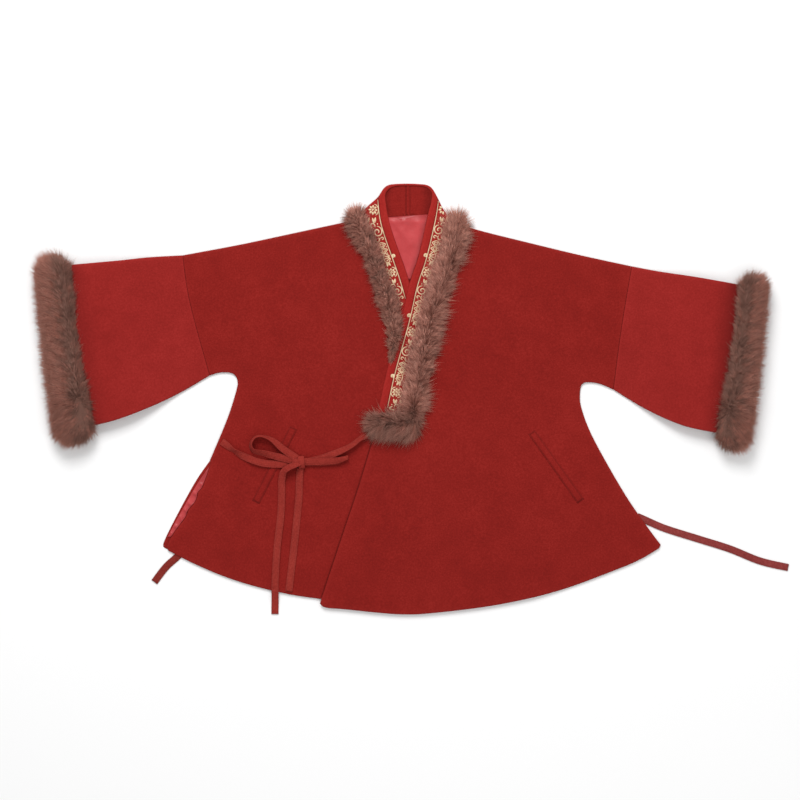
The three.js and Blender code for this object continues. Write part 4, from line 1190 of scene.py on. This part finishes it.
def sewn(name, rows):
    """Stitches along rows of points, as one piece."""
    piece = mesh_piece(name, np.vstack(rows), [], THREAD)
    counts = np.cumsum([0] + [len(row) for row in rows])
    links = [(i, i + 1) for a, b in zip(counts, counts[1:]) for i in range(a, b - 1)]
    points = [tuple(vertex.co) for vertex in piece.data.vertices]
    piece.data.clear_geometry()
    piece.data.from_pydata(points, [[int(i) for i in link] for link in links], [])
    grown(piece, STITCH_TREE, step=0.0032, stitch_length=0.0023, thread_width=0.0005, finish=THREAD)
    return dress(piece, None)


tie_seams = []


def tie(name, node, rows, carrier, rolls=((0, 0), (1, 0)), pitch=2.5, level=None,
        widths=((0, 1), (1, 1)), finish=TIE_WOOL):
    """A tie through rows of x, y and height over what carries it. rolls are its roll at shares of
    its length, and widths the share of its full width that it has there."""
    line = evenly(curve(rows), pitch)
    ground = carrier(line[:, :2]) if carrier else np.zeros(len(line))
    line[:, 2] = np.maximum(0, ground + line[:, 2]) + TIE_THICK / 2
    shares = np.linspace(0, 1, len(line))
    turn = np.interp(shares, *zip(*rolls))
    line[:, 2] += TIE_WIDTH / 2 * np.abs(np.sin(np.radians(turn))) * 0.8
    wide = TIE_WIDTH * np.interp(shares, *zip(*widths))
    points, faces, seams = ribbon(line, turn, level, wide)
    points[:, 2] = np.maximum(points[:, 2], 0.02)
    tie_seams.extend(seams)
    piece = mesh_piece(name, points, faces, finish)
    return dress(piece, node)


def path(rows, start=0.0, end=1.0):
    """The smooth path through the rows, between two shares of its length, at steps of 6 mm."""
    line = evenly(curve(rows), 1.0)
    line = line[int(start * (len(line) - 1)):int(end * (len(line) - 1)) + 1]
    return np.vstack([line[:-1:6], line[-1:]])


tie("tie_from_side", "tie_side", path(TIE_SIDE, 0, 0.94), inner_top,
    rolls=((0, 0), (0.1, 24), (0.2, 60), (0.32, 20), (0.45, -10), (0.8, 0), (1, 0)))
tie("tie_from_front", "tie_front", path(TIE_FRONT, 0, 0.94), inner_top,
    rolls=((0, 8), (0.14, 52), (0.34, 44), (0.6, 12), (1, 0)))
tie("loop_to_side", "bow_loop_side", path(LOOP_SIDE), inner_top,
    rolls=((0, 0), (0.1, 8), (0.2, 20), (0.3, 54), (0.4, 80), (0.5, 74), (0.6, 56), (0.7, 34),
           (0.84, 6), (1, 8)))
tie("loop_to_front", "bow_loop_front", LOOP_FRONT, inner_top,
    rolls=((0, 6), (0.3, 4), (0.46, 0), (0.54, -4), (0.62, -16), (0.8, -9), (1, -14)),
    widths=((0, 1), (0.36, 1), (0.47, 0.62), (0.53, 0.62), (0.64, 0.94), (1, 1)),
    pitch=1.1, level=(-0.1, 1, 0))
tie("tail_long", "bow_tail_long", path(TAIL_LONG), inner_top,
    rolls=((0, 24), (0.04, 32), (0.10, 34), (0.15, 10), (0.22, 0), (0.62, 6), (0.8, 0), (1, 0)))
tie("tail_short", "bow_tail_short", path(TAIL_SHORT, 0.02), inner_top,
    rolls=((0, 12), (0.15, 0), (0.5, -6), (0.75, 0), (1, 0)))
tie("tie_inner_right", "tie_inside_right", path(TIE_INSIDE_RIGHT, 0.2), None, finish=INNER_WOOL_RIGHT)
tie("tie_inner_left", "tie_inside_left", path(TIE_INSIDE_LEFT, 0.06), None, finish=INNER_WOOL_LEFT)

sewn("tie_stitching", tie_seams)

# The knot: a short lump of tie with one turn round its front end and one slanting over it. Each
# turn has its slant in degrees, half its length and its height, its shift and its width.
KNOT_MIDDLE = 4.3             # above what it lies on
knot_floor = float(inner_top([KNOT])[0]) + 2 * GAP
knot_corners, knot_faces, knot_count = [], [], 0
for slant, half, rise, shift, width in (
        (4, 9.4, 5.6, 5.0, 10.0), (-52, 8.6, 3.9, -1.0, 9.0), (90, 7.4, 3.2, -2.0, 11.5)):
    turn = np.radians(np.linspace(0, 360, 29)[:-1])
    lean = math.radians(slant)
    reach = half * np.cos(turn)
    middle = np.column_stack([
        KNOT[0] + shift - reach * math.sin(lean), KNOT[1] + reach * math.cos(lean),
        knot_floor + KNOT_MIDDLE + rise * np.sin(turn) * 0.85])
    level = (math.cos(lean), math.sin(lean), 0)
    corners, faces, _ = ribbon(
        middle, np.zeros(len(middle)), level, np.full(len(middle), width), ring=True)
    knot_faces += [[knot_count + k for k in face] for face in faces]
    knot_corners.append(corners)
    knot_count += len(corners)
knot = mesh_piece("bow_knot_turns", np.vstack(knot_corners), knot_faces, TIE_WOOL)
dress(knot, "bow_knot")

# ---- Surroundings -----------------------------------------------------------------------------
# A plain pale floor, soft studio light from above and a camera that looks straight down.
CAMERA_OVER = (-12.8, 0.0)
CAMERA_HEIGHT = 3.022
bpy.ops.mesh.primitive_plane_add(size=30, location=(0, 0, -0.0003))
floor = bpy.context.object
floor.name = "studio_floor"
paper = Finish("studio_paper", Roughness=0.9, Specular_IOR_Level=0.1)
floor.data.materials.append(paper.use(Base_Color=(0.93, 0.93, 0.93)))

for name, place, size, power in (
        ("key_light", (-0.5, 2.3, 2.3), 1.5, 78.0), ("fill_light", (0.9, -1.2, 2.8), 2.6, 22.0)):
    lamp = bpy.data.lights.new(name, "AREA")
    lamp.size, lamp.energy = size, power
    light = bpy.data.objects.new(name, lamp)
    light.location = place
    light.rotation_euler = (-Vector(place)).to_track_quat("-Z", "Y").to_euler()
    bpy.context.scene.collection.objects.link(light)
world = bpy.data.worlds.new("studio")
world.use_nodes = True
world.node_tree.nodes["Background"].inputs["Color"].default_value = (1, 1, 1, 1)
world.node_tree.nodes["Background"].inputs["Strength"].default_value = 0.55
bpy.context.scene.world = world
bpy.context.scene.view_settings.view_transform = "Standard"

camera = bpy.data.objects.new("camera", bpy.data.cameras.new("camera"))
camera.data.lens = 85
camera.data.sensor_width = 36
camera.location = (*((np.array(CAMERA_OVER) + SHIFT) * MM), CAMERA_HEIGHT)
bpy.context.scene.collection.objects.link(camera)
bpy.context.scene.camera = camera
